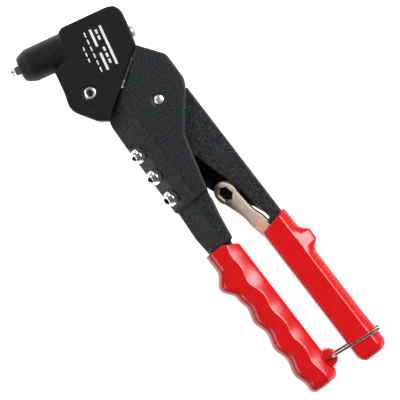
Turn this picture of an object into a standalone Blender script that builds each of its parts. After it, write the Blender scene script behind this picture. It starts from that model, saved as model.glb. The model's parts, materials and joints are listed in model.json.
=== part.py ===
"""Swivel-head hand riveter, held shut by its wire latch.

The tool lies flat on the plane z = 0. The lever's pivot axis is the line x = y = 0, +X runs along the
handles towards the ends of the grips, +Y points from the fixed handle to the lever. All sizes are in
millimetres. Every shape is described on the tool's middle plane, which lies HALF_BODY above z = 0.

Two slanted axes carry the mechanism. The nose axis runs out through the barrel: a place on it is s, and
q is the distance to its side. The swivel axis joins body and head: a place on it is t, and p is the
distance to its side.
"""
import math

import bmesh
import bpy
from mathutils import Matrix, Vector

MM = 0.001

# Fits
GAP = 0.3                 # between pieces that touch or are screwed together
RUN = 0.35                # between a moving piece and its guide
PIN_GAP = 0.25            # around the lever's pin and the click balls
LEVER_PLAY = 0.6          # on each side of the lever in its channel
STEP = 0.1                # keeps faces of shapes that are joined or cut from lying in one plane
ROUND = 24                # sides of a round piece

# Thicknesses, as half sizes about the middle plane
HALF_BODY = 14.0
HALF_HEAD = 12.0
HALF_HANDLE = 9.5
HALF_TANG = 7.5
HALF_LEVER = 8.0
HALF_LEVER_TANG = 7.0
HALF_GRIP = 11.6
HALF_ROCKER = 6.5

# Swivel axis and joint plane between head and body
SWIVEL = Vector((-27.6, -4.4))
SWIVEL_TILT = math.radians(33.0)
JOINT_GAP = 0.3
JOINT_BOTTOM = -34.8      # p of the joint face's lower end
STUD_RADIUS = 7.0
STUD_FLANGE_RADIUS = STUD_RADIUS + 1.8
STUD_FLANGE = 2.6
STUD_SEAT = 6.4           # thickness of the head's wall at the joint
STUD_LENGTH = 9.0         # length of the stud inside the body
NUT_RADIUS = STUD_RADIUS + 2.4
NUT_LENGTH = 4.0
CLICKS = 12
CLICK_RADIUS = STUD_RADIUS + 4.3
PLATE_RADIUS = CLICK_RADIUS + 4.2
PLATE_THICKNESS = 1.2
PLATE_EDGE = 0.4          # how far the plate's flats lie below the body's faces
JOINT_TOP = PLATE_RADIUS + 1.1
BALL_RADIUS = 1.75
BALL_RISE = 1.2           # how far a ball stands out of the head's face
BALL_BORE_DEPTH = 9.0
CLICK_PLAY = 0.2          # of a ball in the plate's holes
CLICK_SPRING_WIRE = 0.3

# Nose axis and barrel
NOSE = Vector((-62.4, -27.5))
NOSE_TILT = math.radians(257.5)
CASE_RADIUS = 6.2
BARREL_RADIUS = CASE_RADIUS + 4.85
BARREL_SHOULDER = 24.8
BARREL_NECK = 30.0
BARREL_NECK_RADIUS = CASE_RADIUS + 2.8
BARREL_END = 32.1
BARREL_END_RADIUS = 7.3
BARREL_CORNER = -10.7     # q of the barrel's corner with the head
BARREL_ROOT = -6.0
SCREW_RADIUS = 3.9        # the nosepieces' screwed end
SCREW_DEPTH = 5.0
NOSEPIECE_FLATS = 9.5
NOSEPIECE_HEX = 5.1
NOSEPIECE_TAPER = 1.2
NOSEPIECE_TIP_RADIUS = 2.9
NOSEPIECE_BORES = (1.25, 1.7, 2.05, 2.45)   # one per rivet size, the first is in the barrel

# Lever, pull rod and rocker
PIN_RADIUS = 3.3
PIN_BEVEL = 1.1           # of the pin's riveted ends, whose flats are flush with the body
PIN_SINK_WIDTH = 1.2      # of the sunk ring around the pin's ends
PIN_SINK_DEPTH = 0.9
TOE_ARM = 11.3
TOE_RADIUS = 3.0
ROD_RADIUS = 3.0
ROD_NUT_RADIUS = 6.0
ROD_NUT_LENGTH = 4.0
ROD_END = 1.0
BUTTON_RADIUS = 6.6
BUTTON_LENGTH = 3.0
ROCKER_PIVOT = Vector((-29.9, -32.3))
ROCKER_PIN_RADIUS = 4.0
ROCKER_PIN_BORE = 2.25
ROCKER_PIN_PROUD = 0.4    # rolled rim of the rocker's pin above the head's face
ROCKER_PIN_RIM = 0.6
ROCKER_HUB_RADIUS = 6.4
ROCKER_TIP_RADIUS = 2.5
ROCKER_ARM_HALF = 1.7
HOLLOW_HALF = 7.0         # half thickness of the head's inner space
ROD_TRAVEL = 5.65
JAW_TRAVEL = 8.54

# Jaw case and its train, as places s on the nose axis with the handles shut
CASE_FRONT = 16.9
CASE_LENGTH = 16.0
JAW_FRONT_RADIUS = 2.5
JAW_REAR_RADIUS = 4.2
JAW_LENGTH = 7.5
JAW_SETBACK = 1.2
PUSHER_RADIUS = 3.9
PUSHER_LENGTH = 2.5
JAW_SPRING_LENGTH = 2.5
JAW_SPRING_WIRE = 0.35
MANDREL_BORE = 1.9
TAIL_RADIUS = 3.2
TAIL_SCREW_RADIUS = 4.2
TAIL_END = -36.0
FLANGE_RADIUS = 6.0
FLANGE_LENGTH = 3.0
COLLAR_FRONT = -26.5
COLLAR_LENGTH = 3.0
PUSH_PLACE = -2.26        # where the rocker's tips push the tail tube's flange
PLUG_OFFSET = 7.2         # from the nose axis to the return spring's axis
SPRING_RADIUS = 2.9
SPRING_WIRE = 0.5
CHAMBER_ROOM = 0.6        # around the spring and the collar in the head's chamber
CHAMBER_FRONT = -9.0
REAR_WALL = -36.9         # inner face of the head's rear wall
PLUG_FACE = -42.2
PLUG_RADIUS = 4.2
PLUG_SCREW = 3.6
PLUG_RIM = 1.0            # the plug's head is a rim and a step
PLUG_STEP = 0.8
PLUG_SINK = 0.5           # room around the plug's head where it is sunk in the rear wall
BEYOND = -60.0            # any place behind the head
EXIT_RADIUS = 2.6

# Storage seats for the spare nosepieces
SEAT_START = 14.0
SEAT_PITCH = 17.0
SEAT_COUNT = 3
SEAT_FIRST = SEAT_START + NOSEPIECE_FLATS / math.sqrt(3.0) + 1.0
SEAT_END = SEAT_FIRST + (SEAT_COUNT - 1) * SEAT_PITCH + NOSEPIECE_FLATS / math.sqrt(3.0) + 2.0
SEAT_TOP = -27.5
SEAT_CENTRE = -30.5
SEAT_SLOPE = math.radians(54.0)
SEAT_DEPTH = 12.0

# Body's bevelled flank
RIDGE = -18.9
RIDGE_TURN = 2.0
RIDGE_START = Vector((-28.0, -0.8))
HANDLE_RIDGE = -22.0
FLANK_SLOPE = math.radians(30.0)

# Handles and grips
BODY_END = 64.5
HANDLE_END = 98.5
TANG_INNER = -18.5
TANG_OUTER = -33.5
LEVER_OUTER = 19.2
WEB_TOP = -4.5            # of the lever's web under the wrench, from the middle plane
LEVER_TANG_INNER = 7.3
LEVER_TANG_OUTER = LEVER_OUTER - 2.0
GRIP_FACET = 5.5          # half thickness of a grip at its narrow edges
FIXED_GRIP_START = HANDLE_END + 0.5
FIXED_GRIP_END = 209.7
TANG_END = FIXED_GRIP_END - 7.7
FIXED_GRIP_INNER = -15.0
FIXED_GRIP_OUTER = -37.7
FIXED_GRIP_CREASE = -23.6
GUARD_CENTRE = FIXED_GRIP_START + 21.5
GUARD_HEIGHT = 5.6
GUARD_WIDTH = 22.0
GUARD_CREASE = 1.6        # how far the crease bends out at the guard
WAVE_PITCH = 21.0
WAVE_HEIGHT = 1.1
WAVE_FIRST = FIXED_GRIP_START + 51.0
WAVE_START = FIXED_GRIP_START + 39.0
GRIP_END_ROUND = 6.0
GRIP_END_SHARE = 0.8      # share of the end's rounding that goes across the grip
LEVER_GRIP_START = 107.0
LEVER_GRIP_END = FIXED_GRIP_END + 3.5
LEVER_TANG_END = LEVER_GRIP_END - 9.2
LEVER_GRIP_INNER = 0.2
LEVER_GRIP_OUTER = 21.6
LEVER_GRIP_CREASE = 15.5
THUMB_CENTRE = LEVER_GRIP_START + 20.3
THUMB_HEIGHT = 5.4
THUMB_WIDTH = 19.0

# Wire latch and its lug
LUG_CENTRE = Vector((FIXED_GRIP_END - 13.2, FIXED_GRIP_INNER + 0.5))
LUG_RADIUS = 6.0
LUG_HALF = 8.0
LATCH_PIVOT = LUG_CENTRE + Vector((0.3, 2.1))
LATCH_TILT = math.radians(84.0)
LATCH_ROOM = 3.0          # from the lever grip's outer face to the middle of the bar
LATCH_REACH = (LEVER_GRIP_OUTER + LATCH_ROOM - LATCH_PIVOT.y) / math.sin(LATCH_TILT)
WIRE_RADIUS = 0.95
WIRE_BEND = 3.0
WIRE_HOOK = 3.0           # where the wire's ends lie in the lug, from the middle plane

# Wrench
WRENCH_CENTRE = Vector((73.3, -2.2))
WRENCH_TURN = math.radians(11.5)
WRENCH_LEAN = math.radians(40.0)
WRENCH_THICKNESS = 3.0
WRENCH_FLATS = NOSEPIECE_FLATS + 0.2
WRENCH_RING_RADIUS = WRENCH_FLATS / math.sqrt(3.0) + 2.9
WRENCH_POCKET = 0.4       # room around the wrench in the lever and its grip
WRENCH_OPEN = 25.0        # length of shank that lies open, from the ring's centre
WRENCH_NECK = 10.0
WRENCH_SHANK = 12.4
WRENCH_LENGTH = 72.0

COLOURS = {
    "black_paint": ((0.030, 0.032, 0.033), 0.55, 0.2),
    "red_plastic": ((0.680, 0.018, 0.022), 0.35, 0.0),
    "bright_steel": ((0.700, 0.690, 0.670), 0.25, 1.0),
    "chrome": ((0.800, 0.800, 0.800), 0.10, 1.0),
    "nickel_steel": ((0.620, 0.560, 0.480), 0.30, 1.0),
    "dark_steel": ((0.200, 0.200, 0.210), 0.40, 1.0),
}


# Axes and places

def unit(angle):
    return Vector((math.cos(angle), math.sin(angle)))


NOSE_OUT = unit(NOSE_TILT)
NOSE_SIDE = unit(NOSE_TILT + math.pi / 2)
SWIVEL_OUT = unit(SWIVEL_TILT)
SWIVEL_SIDE = unit(SWIVEL_TILT + math.pi / 2)


def on_nose(s, q=0.0):
    return NOSE + s * NOSE_OUT + q * NOSE_SIDE


def on_swivel(t, p=0.0):
    return SWIVEL + t * SWIVEL_OUT + p * SWIVEL_SIDE


def axis_frame(origin, direction):
    """Matrix whose local Z runs along the direction and whose local X lies in the tool's plane."""
    out = Vector((direction[0], direction[1], direction[2] if len(direction) > 2 else 0.0)).normalized()
    side = Vector((-out.y, out.x, 0.0)).normalized()
    matrix = Matrix((side, out.cross(side), out)).transposed().to_4x4()
    matrix.translation = Vector((origin[0], origin[1], origin[2] if len(origin) > 2 else 0.0))
    return matrix


NOSE_FRAME = axis_frame(NOSE, NOSE_OUT)
SWIVEL_FRAME = axis_frame(SWIVEL, SWIVEL_OUT)

# Places that follow from the axes
TOE = TOE_ARM * SWIVEL_SIDE
TOE_PLACE = (TOE - SWIVEL).dot(SWIVEL_OUT)
TOE_ROOM_START = TOE_PLACE - ROD_TRAVEL - TOE_RADIUS - LEVER_PLAY
NUT_FACE = TOE_PLACE + TOE_RADIUS + GAP
ROD_TIP = (ROCKER_PIVOT - SWIVEL).dot(SWIVEL_OUT)
ROD_FACE = ROD_TIP - ROCKER_TIP_RADIUS - GAP
FLANGE_PUSH = on_nose(PUSH_PLACE)
FLANGE_FRONT = PUSH_PLACE - ROCKER_TIP_RADIUS - GAP
CASE_REAR = CASE_FRONT - CASE_LENGTH
JAW_FRONT = CASE_FRONT - JAW_SETBACK
JAW_REAR = JAW_FRONT - JAW_LENGTH
PUSHER_REAR = JAW_REAR - GAP - PUSHER_LENGTH
TAIL_FRONT = PUSHER_REAR - GAP - JAW_SPRING_LENGTH - GAP


# Scene helpers

def clear_scene():
    for item in list(bpy.data.objects):
        bpy.data.objects.remove(item, do_unlink=True)


def material(name):
    found = bpy.data.materials.get(name)
    if found:
        return found
    colour, roughness, metallic = COLOURS[name]
    made = bpy.data.materials.new(name)
    made.use_nodes = True
    shader = made.node_tree.nodes["Principled BSDF"]
    shader.inputs["Base Color"].default_value = (*colour, 1.0)
    shader.inputs["Roughness"].default_value = roughness
    shader.inputs["Metallic"].default_value = metallic
    return made


def empty(name, place, parent=None):
    """Empty that stands on a joint's axis. The place is given in the tool's frame."""
    made = bpy.data.objects.new(name, None)
    bpy.context.collection.objects.link(made)
    place = Vector((place[0], place[1], 0.0)) * MM
    if parent is None:
        made.location = place + Vector((0.0, 0.0, HALF_BODY * MM))
    else:
        made.parent = parent
        made.location = place - Vector(parent["tool_place"])
    made["tool_place"] = place
    return made


def add(name, mesh, carrier, finish):
    """Turn a bmesh in the tool's frame into an object that hangs on its carrier."""
    shift = Vector(carrier["tool_place"])
    bmesh.ops.scale(mesh, vec=(MM, MM, MM), verts=mesh.verts)
    bmesh.ops.translate(mesh, vec=-shift, verts=mesh.verts)
    bmesh.ops.recalc_face_normals(mesh, faces=mesh.faces)
    data = bpy.data.meshes.new(name)
    mesh.to_mesh(data)
    mesh.free()
    made = bpy.data.objects.new(name, data)
    bpy.context.collection.objects.link(made)
    made.parent = carrier
    if finish:
        data.materials.append(material(finish))
        data.shade_smooth()
        data.set_sharp_from_angle(angle=math.radians(30.0))
    return made


def combine(target, mesh, operation):
    """Cut a shape out of the target, or join it on, with an exact Boolean."""
    tool = add(target.name + "_tool", mesh, target.parent, None)
    tool.hide_render = True
    tool.display_type = "WIRE"
    modifier = target.modifiers.new(operation.lower(), "BOOLEAN")
    modifier.operation = operation
    modifier.solver = "EXACT"
    modifier.object = tool


def cut(target, mesh):
    combine(target, mesh, "DIFFERENCE")


def join(target, mesh):
    combine(target, mesh, "UNION")


# Shape helpers

def prism(points, low, high, frame=None):
    """Outline in the plane, raised from low to high."""
    mesh = bmesh.new()
    ring = [mesh.verts.new((x, y, low)) for x, y in points]
    face = mesh.faces.new(ring)
    raised = bmesh.ops.extrude_face_region(mesh, geom=[face])
    top = [item for item in raised["geom"] if isinstance(item, bmesh.types.BMVert)]
    bmesh.ops.translate(mesh, vec=(0.0, 0.0, high - low), verts=top)
    if frame is not None:
        mesh.transform(frame)
    return mesh


def slab(points, half, frame=None):
    return prism(points, -half, half, frame)


def turned(profile, frame, sides=ROUND):
    """Solid of revolution about the frame's Z axis. The profile is a closed loop of (radius, height)."""
    mesh = bmesh.new()
    rings = []
    for radius, height in profile:
        if radius == 0.0:
            rings.append([mesh.verts.new((0.0, 0.0, height))])
            continue
        turns = [2 * math.pi * step / sides for step in range(sides)]
        rings.append([mesh.verts.new((radius * math.cos(a), radius * math.sin(a), height)) for a in turns])
    pairs = list(zip(rings, rings[1:] + rings[:1]))
    for lower, upper in pairs:
        if len(lower) == 1 and len(upper) == 1:
            continue
        for step in range(sides):
            after = (step + 1) % sides
            corners = [lower[step % len(lower)], lower[after % len(lower)],
                       upper[after % len(upper)], upper[step % len(upper)]]
            mesh.faces.new(list(dict.fromkeys(corners)))
    mesh.transform(frame)
    return mesh


def rod_shape(radius, low, high, frame, sides=ROUND):
    return turned([(0.0, low), (radius, low), (radius, high), (0.0, high)], frame, sides)


def ring_shape(inner, outer, low, high, frame, sides=ROUND):
    return turned([(inner, low), (outer, low), (outer, high), (inner, high)], frame, sides)


def arc(centre, radius, start, end, steps):
    """Points on an arc from start to end, both included, angles in degrees."""
    angles = [math.radians(start + (end - start) * step / steps) for step in range(steps + 1)]
    return [(centre[0] + radius * math.cos(a), centre[1] + radius * math.sin(a)) for a in angles]


def rounded(points, radii, steps=3):
    """Polygon with its corners rounded. Each radius is limited by the corner's shorter side."""
    made = []
    count = len(points)
    for index, (point, radius) in enumerate(zip(points, radii)):
        here = Vector(point)
        back = Vector(points[index - 1]) - here
        ahead = Vector(points[(index + 1) % count]) - here
        half_angle = back.angle(ahead) / 2
        reach = min(radius / math.tan(half_angle), 0.45 * back.length, 0.45 * ahead.length)
        if radius == 0.0 or reach < 0.05:
            made.append(tuple(here))
            continue
        start = here + back.normalized() * reach
        end = here + ahead.normalized() * reach
        for step in range(steps + 1):
            share = step / steps
            mixed = start * (1 - share) ** 2 + here * 2 * share * (1 - share) + end * share ** 2
            made.append(tuple(mixed))
    return made


def hexagon(flats, turn=0.0):
    corner = flats / 2 / math.cos(math.pi / 6)
    angles = [turn + math.pi * step / 3 for step in range(6)]
    return [(corner * math.cos(a), corner * math.sin(a)) for a in angles]


def loft(rings):
    """Skin over rings of equal point count, closed with a cap at each end."""
    mesh = bmesh.new()
    layers = [[mesh.verts.new(point) for point in ring] for ring in rings]
    count = len(layers[0])
    for low, high in zip(layers, layers[1:]):
        for step in range(count):
            after = (step + 1) % count
            mesh.faces.new((low[step], low[after], high[after], high[step]))
    mesh.faces.new(layers[0])
    mesh.faces.new(layers[-1])
    return mesh


def plane_cut(mesh, point, normal):
    """Remove what lies beyond a plane, and close the cut."""
    geometry = mesh.verts[:] + mesh.edges[:] + mesh.faces[:]
    result = bmesh.ops.bisect_plane(mesh, geom=geometry, plane_co=point, plane_no=normal, clear_outer=True)
    rim = [item for item in result["geom_cut"] if isinstance(item, bmesh.types.BMEdge)]
    bmesh.ops.holes_fill(mesh, edges=rim, sides=0)


def coil(name, origin_frame, radius, wire, low, high, turns, carrier, finish):
    """Compression spring as a curve with capped ends."""
    steps = int(turns * 12)
    curve = bpy.data.curves.new(name, "CURVE")
    curve.dimensions = "3D"
    curve.bevel_depth = wire * MM
    curve.bevel_resolution = 1
    curve.use_fill_caps = True
    line = curve.splines.new("POLY")
    line.points.add(steps)
    shift = Vector(carrier["tool_place"])
    for step in range(steps + 1):
        share = step / steps
        angle = 2 * math.pi * turns * share
        height = low + wire + (high - low - 2 * wire) * share
        place = origin_frame @ Vector((radius * math.cos(angle), radius * math.sin(angle), height))
        line.points[step].co = (*(place * MM - shift), 1.0)
    made = bpy.data.objects.new(name, curve)
    bpy.context.collection.objects.link(made)
    made.parent = carrier
    curve.materials.append(material(finish))
    return made


# Head

def head_outline():
    face = -JOINT_GAP / 2
    joint_top = on_swivel(face, JOINT_TOP)
    joint_bottom = on_swivel(face, JOINT_BOTTOM)
    points = [(-74.1, -21.5), (-67.3, 9.3), (-65.1, 13.6), (-59.9, 15.6), (-52.4, 14.1), (-38.7, 10.4),
              tuple(joint_top), tuple(joint_bottom), (-12.6, -39.1), (-26.4, -47.7), (-30.9, -48.3),
              (-40.1, -45.2), (-54.3, -42.0), tuple(on_nose(2.0, 6.0)), tuple(on_nose(0.0, BARREL_CORNER))]
    radii = [1.5, 4, 4, 4, 6, 0.8, 0.5, 0.5, 4, 6, 6, 6, 0, 0, 0]
    return rounded(points[::-1], radii[::-1])


def head_hollow():
    """Space for the rocker and its sweep, open to the barrel's bore."""
    guard = BUTTON_RADIUS + RUN
    wall = -(STUD_SEAT + STUD_FLANGE + 2 * GAP)
    front = CASE_FRONT - CASE_LENGTH + JAW_TRAVEL
    rod_end = ROD_TIP - ROCKER_TIP_RADIUS - GAP - BUTTON_LENGTH - ROD_TRAVEL - ROD_END - RUN
    low = ROCKER_PIVOT.y - ROCKER_HUB_RADIUS - RUN
    right = ROCKER_PIVOT.x + ROCKER_HUB_RADIUS + RUN
    return [(right, low), (right, ROCKER_PIVOT.y), tuple(on_swivel(wall, -guard - 8.0)),
            tuple(on_swivel(wall, guard)), tuple(on_swivel(rod_end, guard)), tuple(on_nose(-17.5, -4.0)),
            tuple(on_nose(front, -5.0)), tuple(on_nose(front, 6.0)), (-48.0, low)]


def head_casting(carrier):
    head = add("head_casting", slab(head_outline(), HALF_HEAD), carrier, "black_paint")
    barrel = [(0.0, BARREL_ROOT), (BARREL_RADIUS, BARREL_ROOT), (BARREL_RADIUS, BARREL_SHOULDER),
              (BARREL_NECK_RADIUS, BARREL_NECK), (BARREL_END_RADIUS, BARREL_END), (0.0, BARREL_END)]
    join(head, turned(barrel, NOSE_FRAME, 32))
    bore_end = BARREL_END - SCREW_DEPTH
    case_bore = CASE_RADIUS + RUN
    cut(head, turned([(0.0, -4.0), (case_bore, -4.0), (case_bore, bore_end), (SCREW_RADIUS + GAP, bore_end),
                      (SCREW_RADIUS + GAP, BARREL_END + 1), (0.0, BARREL_END + 1)], NOSE_FRAME, 32))
    cut(head, slab(head_hollow(), HOLLOW_HALF))
    hub_half = HOLLOW_HALF - STEP
    cut(head, rod_shape(ROCKER_HUB_RADIUS + RUN, -hub_half, hub_half, upright(ROCKER_PIVOT)))
    push_bore = FLANGE_RADIUS + RUN
    push_rear = FLANGE_FRONT - FLANGE_LENGTH - RUN
    cut(head, rod_shape(push_bore, push_rear, FLANGE_FRONT + JAW_TRAVEL + RUN, NOSE_FRAME))
    cut(head, spring_chamber())
    cut(head, rod_shape(EXIT_RADIUS, BEYOND, REAR_WALL + 1, NOSE_FRAME))
    cut(head, rod_shape(PLUG_SCREW + GAP, BEYOND, REAR_WALL + 1, plug_frame()))
    cut(head, rod_shape(PLUG_RADIUS + PLUG_SINK, BEYOND, PLUG_FACE, plug_frame()))
    stud_bore = STUD_RADIUS + RUN
    flange_bore = STUD_FLANGE_RADIUS + GAP
    flange_low = -(STUD_SEAT + STUD_FLANGE + 2 * GAP + 1)
    cut(head, turned([(0.0, flange_low), (flange_bore, flange_low), (flange_bore, -STUD_SEAT),
                      (stud_bore, -STUD_SEAT), (stud_bore, 1.0), (0.0, 1.0)], SWIVEL_FRAME))
    for side in (-1, 1):
        bore = axis_frame(on_swivel(0.0, side * CLICK_RADIUS), SWIVEL_OUT)
        cut(head, rod_shape(BALL_RADIUS + PIN_GAP, -BALL_BORE_DEPTH, 1.0, bore, 16))
    cut(head, rod_shape(ROCKER_PIN_RADIUS + GAP, -HALF_HEAD - 1, HALF_HEAD + 1, upright(ROCKER_PIVOT)))
    return head


def upright(place):
    return Matrix.Translation((place[0], place[1], 0.0))


def plug_frame():
    return axis_frame(on_nose(0.0, PLUG_OFFSET), NOSE_OUT)


def spring_chamber():
    """Long hole behind the flange, wide enough for the tail tube and the return spring beside it."""
    radius = SPRING_RADIUS + SPRING_WIRE + RUN + CHAMBER_ROOM
    outline = arc((0.0, 0.0), radius, 90, 270, 8) + arc((PLUG_OFFSET, 0.0), radius, -90, 90, 8)
    return prism(outline, REAR_WALL, CHAMBER_FRONT, NOSE_FRAME)


def nosepiece(name, frame, bore, carrier):
    """Hexagon with a rounded, tapered tip, a screwed end and a bore. Local z = 0 is its seat."""
    corner = NOSEPIECE_FLATS / 2 / math.cos(math.pi / 6)
    top = NOSEPIECE_HEX + NOSEPIECE_TAPER
    piece = add(name, prism(hexagon(NOSEPIECE_FLATS), GAP, NOSEPIECE_HEX, frame), carrier, "chrome")
    join(piece, rod_shape(SCREW_RADIUS, -SCREW_DEPTH + GAP, 1.0, frame))
    tip = [(0.0, NOSEPIECE_HEX - 0.5), (corner * 0.86, NOSEPIECE_HEX - 0.5),
           (NOSEPIECE_TIP_RADIUS, top), (0.0, top)]
    join(piece, turned(tip, frame))
    cut(piece, rod_shape(bore, -SCREW_DEPTH - 1, top + 1, frame, 16))
    return piece


def rocker_pin(carrier):
    reach = HALF_HEAD + ROCKER_PIN_PROUD
    rim = ROCKER_PIN_RADIUS
    flat = rim - ROCKER_PIN_RIM
    edge = reach - ROCKER_PIN_RIM
    profile = [(ROCKER_PIN_BORE, -reach), (flat, -reach), (rim, -edge), (rim, edge), (flat, reach),
               (ROCKER_PIN_BORE, reach)]
    return add("rocker_pin", turned(profile, upright(ROCKER_PIVOT)), carrier, "bright_steel")


def spring_plug(carrier):
    """Screwed plug with a stepped head that closes the return spring's chamber."""
    seat = PLUG_FACE - GAP
    profile = [(0.0, REAR_WALL - GAP), (PLUG_SCREW, REAR_WALL - GAP), (PLUG_SCREW, seat), (PLUG_RADIUS, seat),
               (PLUG_RADIUS, seat - PLUG_RIM), (PLUG_RADIUS - PLUG_STEP, seat - PLUG_RIM - PLUG_STEP),
               (0.0, seat - PLUG_RIM - PLUG_STEP)]
    return add("spring_plug", turned(profile, plug_frame()), carrier, "bright_steel")


def detents(carrier):
    for side, label in ((1, "upper"), (-1, "lower")):
        frame = axis_frame(on_swivel(0.0, side * CLICK_RADIUS), SWIVEL_OUT)
        centre = BALL_RISE - JOINT_GAP / 2 - BALL_RADIUS
        steps = 6
        angles = [math.pi * step / steps - math.pi / 2 for step in range(steps + 1)]
        profile = [(abs(BALL_RADIUS * math.cos(a)) if 0 < index < steps else 0.0,
                    centre + BALL_RADIUS * math.sin(a)) for index, a in enumerate(angles)]
        add("detent_ball_" + label, turned(profile, frame, 12), carrier, "bright_steel")
        coil("detent_spring_" + label, frame, BALL_RADIUS - 0.5, CLICK_SPRING_WIRE, -BALL_BORE_DEPTH + GAP,
             centre - BALL_RADIUS - GAP, 4, carrier, "dark_steel")


# Jaw train

def jaw_case(carrier):
    slope = (JAW_REAR_RADIUS - JAW_FRONT_RADIUS) / JAW_LENGTH
    mouth = JAW_FRONT_RADIUS - slope * JAW_SETBACK + RUN
    bore = TAIL_SCREW_RADIUS + GAP
    wide = JAW_REAR_RADIUS + RUN
    profile = [(mouth, CASE_FRONT), (wide, JAW_REAR), (bore, JAW_REAR - 1.0), (bore, CASE_REAR),
               (CASE_RADIUS, CASE_REAR), (CASE_RADIUS, CASE_FRONT - 1.0), (CASE_RADIUS - 1.0, CASE_FRONT)]
    return add("jaw_case", turned(profile, NOSE_FRAME), carrier, "dark_steel")


def tail_tube(carrier):
    profile = [(MANDREL_BORE, TAIL_FRONT), (TAIL_SCREW_RADIUS, TAIL_FRONT), (TAIL_SCREW_RADIUS, CASE_REAR),
               (TAIL_RADIUS, CASE_REAR), (TAIL_RADIUS, FLANGE_FRONT), (FLANGE_RADIUS, FLANGE_FRONT),
               (FLANGE_RADIUS, FLANGE_FRONT - FLANGE_LENGTH), (TAIL_RADIUS, FLANGE_FRONT - FLANGE_LENGTH),
               (TAIL_RADIUS, TAIL_END), (MANDREL_BORE, TAIL_END)]
    return add("tail_tube", turned(profile, NOSE_FRAME), carrier, "bright_steel")


def tail_collar(carrier):
    """Spring seat clamped on the tail tube, with an ear under the return spring."""
    radius = SPRING_RADIUS + SPRING_WIRE + 0.4
    outline = arc((0.0, 0.0), radius + 0.3, 90, 270, 8) + arc((PLUG_OFFSET, 0.0), radius, -90, 90, 8)
    mesh = prism(outline, COLLAR_FRONT - COLLAR_LENGTH, COLLAR_FRONT, NOSE_FRAME)
    collar = add("tail_collar", mesh, carrier, "dark_steel")
    cut(collar, rod_shape(TAIL_RADIUS + GAP, COLLAR_FRONT - COLLAR_LENGTH - 1, COLLAR_FRONT + 1, NOSE_FRAME))
    return collar


def jaws(carrier):
    """A cone split in two, with a groove for the mandrel."""
    profile = [(0.0, JAW_REAR), (JAW_REAR_RADIUS, JAW_REAR), (JAW_FRONT_RADIUS, JAW_FRONT), (0.0, JAW_FRONT)]
    for side, label in ((1, "upper"), (-1, "lower")):
        jaw = add("jaw_" + label, turned(profile, NOSE_FRAME), carrier, "dark_steel")
        reach = 2 * JAW_REAR_RADIUS
        split = side * GAP / 2
        half = [(-reach, -reach * side), (reach, -reach * side), (reach, split), (-reach, split)]
        cut(jaw, prism(half, JAW_REAR - 1, JAW_FRONT + 1, NOSE_FRAME))
        cut(jaw, rod_shape(NOSEPIECE_BORES[0], JAW_REAR - 1, JAW_FRONT + 1, NOSE_FRAME, 12))


def jaw_pusher(carrier):
    profile = [(MANDREL_BORE, PUSHER_REAR), (PUSHER_RADIUS, PUSHER_REAR),
               (PUSHER_RADIUS, JAW_REAR - GAP), (MANDREL_BORE, JAW_REAR - GAP)]
    return add("jaw_pusher", turned(profile, NOSE_FRAME), carrier, "bright_steel")


def springs(head_carrier, case_carrier):
    frame = plug_frame()
    coil("return_spring", frame, SPRING_RADIUS - SPRING_WIRE, SPRING_WIRE, REAR_WALL + GAP,
         COLLAR_FRONT - COLLAR_LENGTH - GAP, 5, head_carrier, "bright_steel")
    coil("jaw_spring", NOSE_FRAME, PUSHER_RADIUS - 2 * JAW_SPRING_WIRE, JAW_SPRING_WIRE, TAIL_FRONT + GAP,
         PUSHER_REAR - GAP, 3, case_carrier, "bright_steel")


# Rocker and pull rod

def arm_outline(start, end, half, tip):
    """Straight arm from a hub to a round tip that is wider than the arm."""
    along = (end - start).normalized()
    across = Vector((-along.y, along.x))
    angle = math.degrees(math.atan2(along.y, along.x))
    reach = 180 - math.degrees(math.asin(half / tip))
    head = arc(end, tip, angle - reach, angle + reach, 12)
    return [tuple(start - across * half)] + head + [tuple(start + across * half)]


def rocker(carrier):
    """Bell crank with two cheeks. Its tips straddle the pull rod and the tail tube."""
    pivot = ROCKER_PIVOT
    rod_tip = on_swivel(ROD_TIP, 0.0)
    crank = add("rocker", rod_shape(ROCKER_HUB_RADIUS, -HALF_ROCKER, HALF_ROCKER, upright(pivot)), carrier,
                "dark_steel")
    for end in (rod_tip, FLANGE_PUSH):
        join(crank, slab(arm_outline(pivot, end, ROCKER_ARM_HALF, ROCKER_TIP_RADIUS), HALF_ROCKER - STEP))
    inner = TAIL_RADIUS + RUN + 0.1
    for end in (rod_tip, FLANGE_PUSH):
        along = (end - pivot).normalized()
        start = pivot + along * (ROCKER_HUB_RADIUS + 2.0)
        cut(crank, slab(arm_outline(start, end + along * 4.0, 3.9, 4.0), inner))
    cut(crank, rod_shape(ROCKER_PIN_RADIUS + RUN, -HALF_ROCKER - 1, HALF_ROCKER + 1, upright(pivot)))
    return crank


def pull_rod(carrier):
    """Rod with a button head, which the rocker's tips turn around as the head swivels."""
    head = ROD_FACE - BUTTON_LENGTH
    tail = NUT_FACE + ROD_NUT_LENGTH + ROD_END
    profile = [(0.0, head), (BUTTON_RADIUS, head), (BUTTON_RADIUS, ROD_FACE), (ROD_RADIUS, ROD_FACE),
               (ROD_RADIUS, tail), (0.0, tail)]
    return add("pull_rod", turned(profile, SWIVEL_FRAME), carrier, "bright_steel")


def rod_nut(carrier):
    mesh = ring_shape(ROD_RADIUS + GAP, ROD_NUT_RADIUS, NUT_FACE, NUT_FACE + ROD_NUT_LENGTH, SWIVEL_FRAME)
    return add("rod_nut", mesh, carrier, "dark_steel")


# Swivel joint

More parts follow.
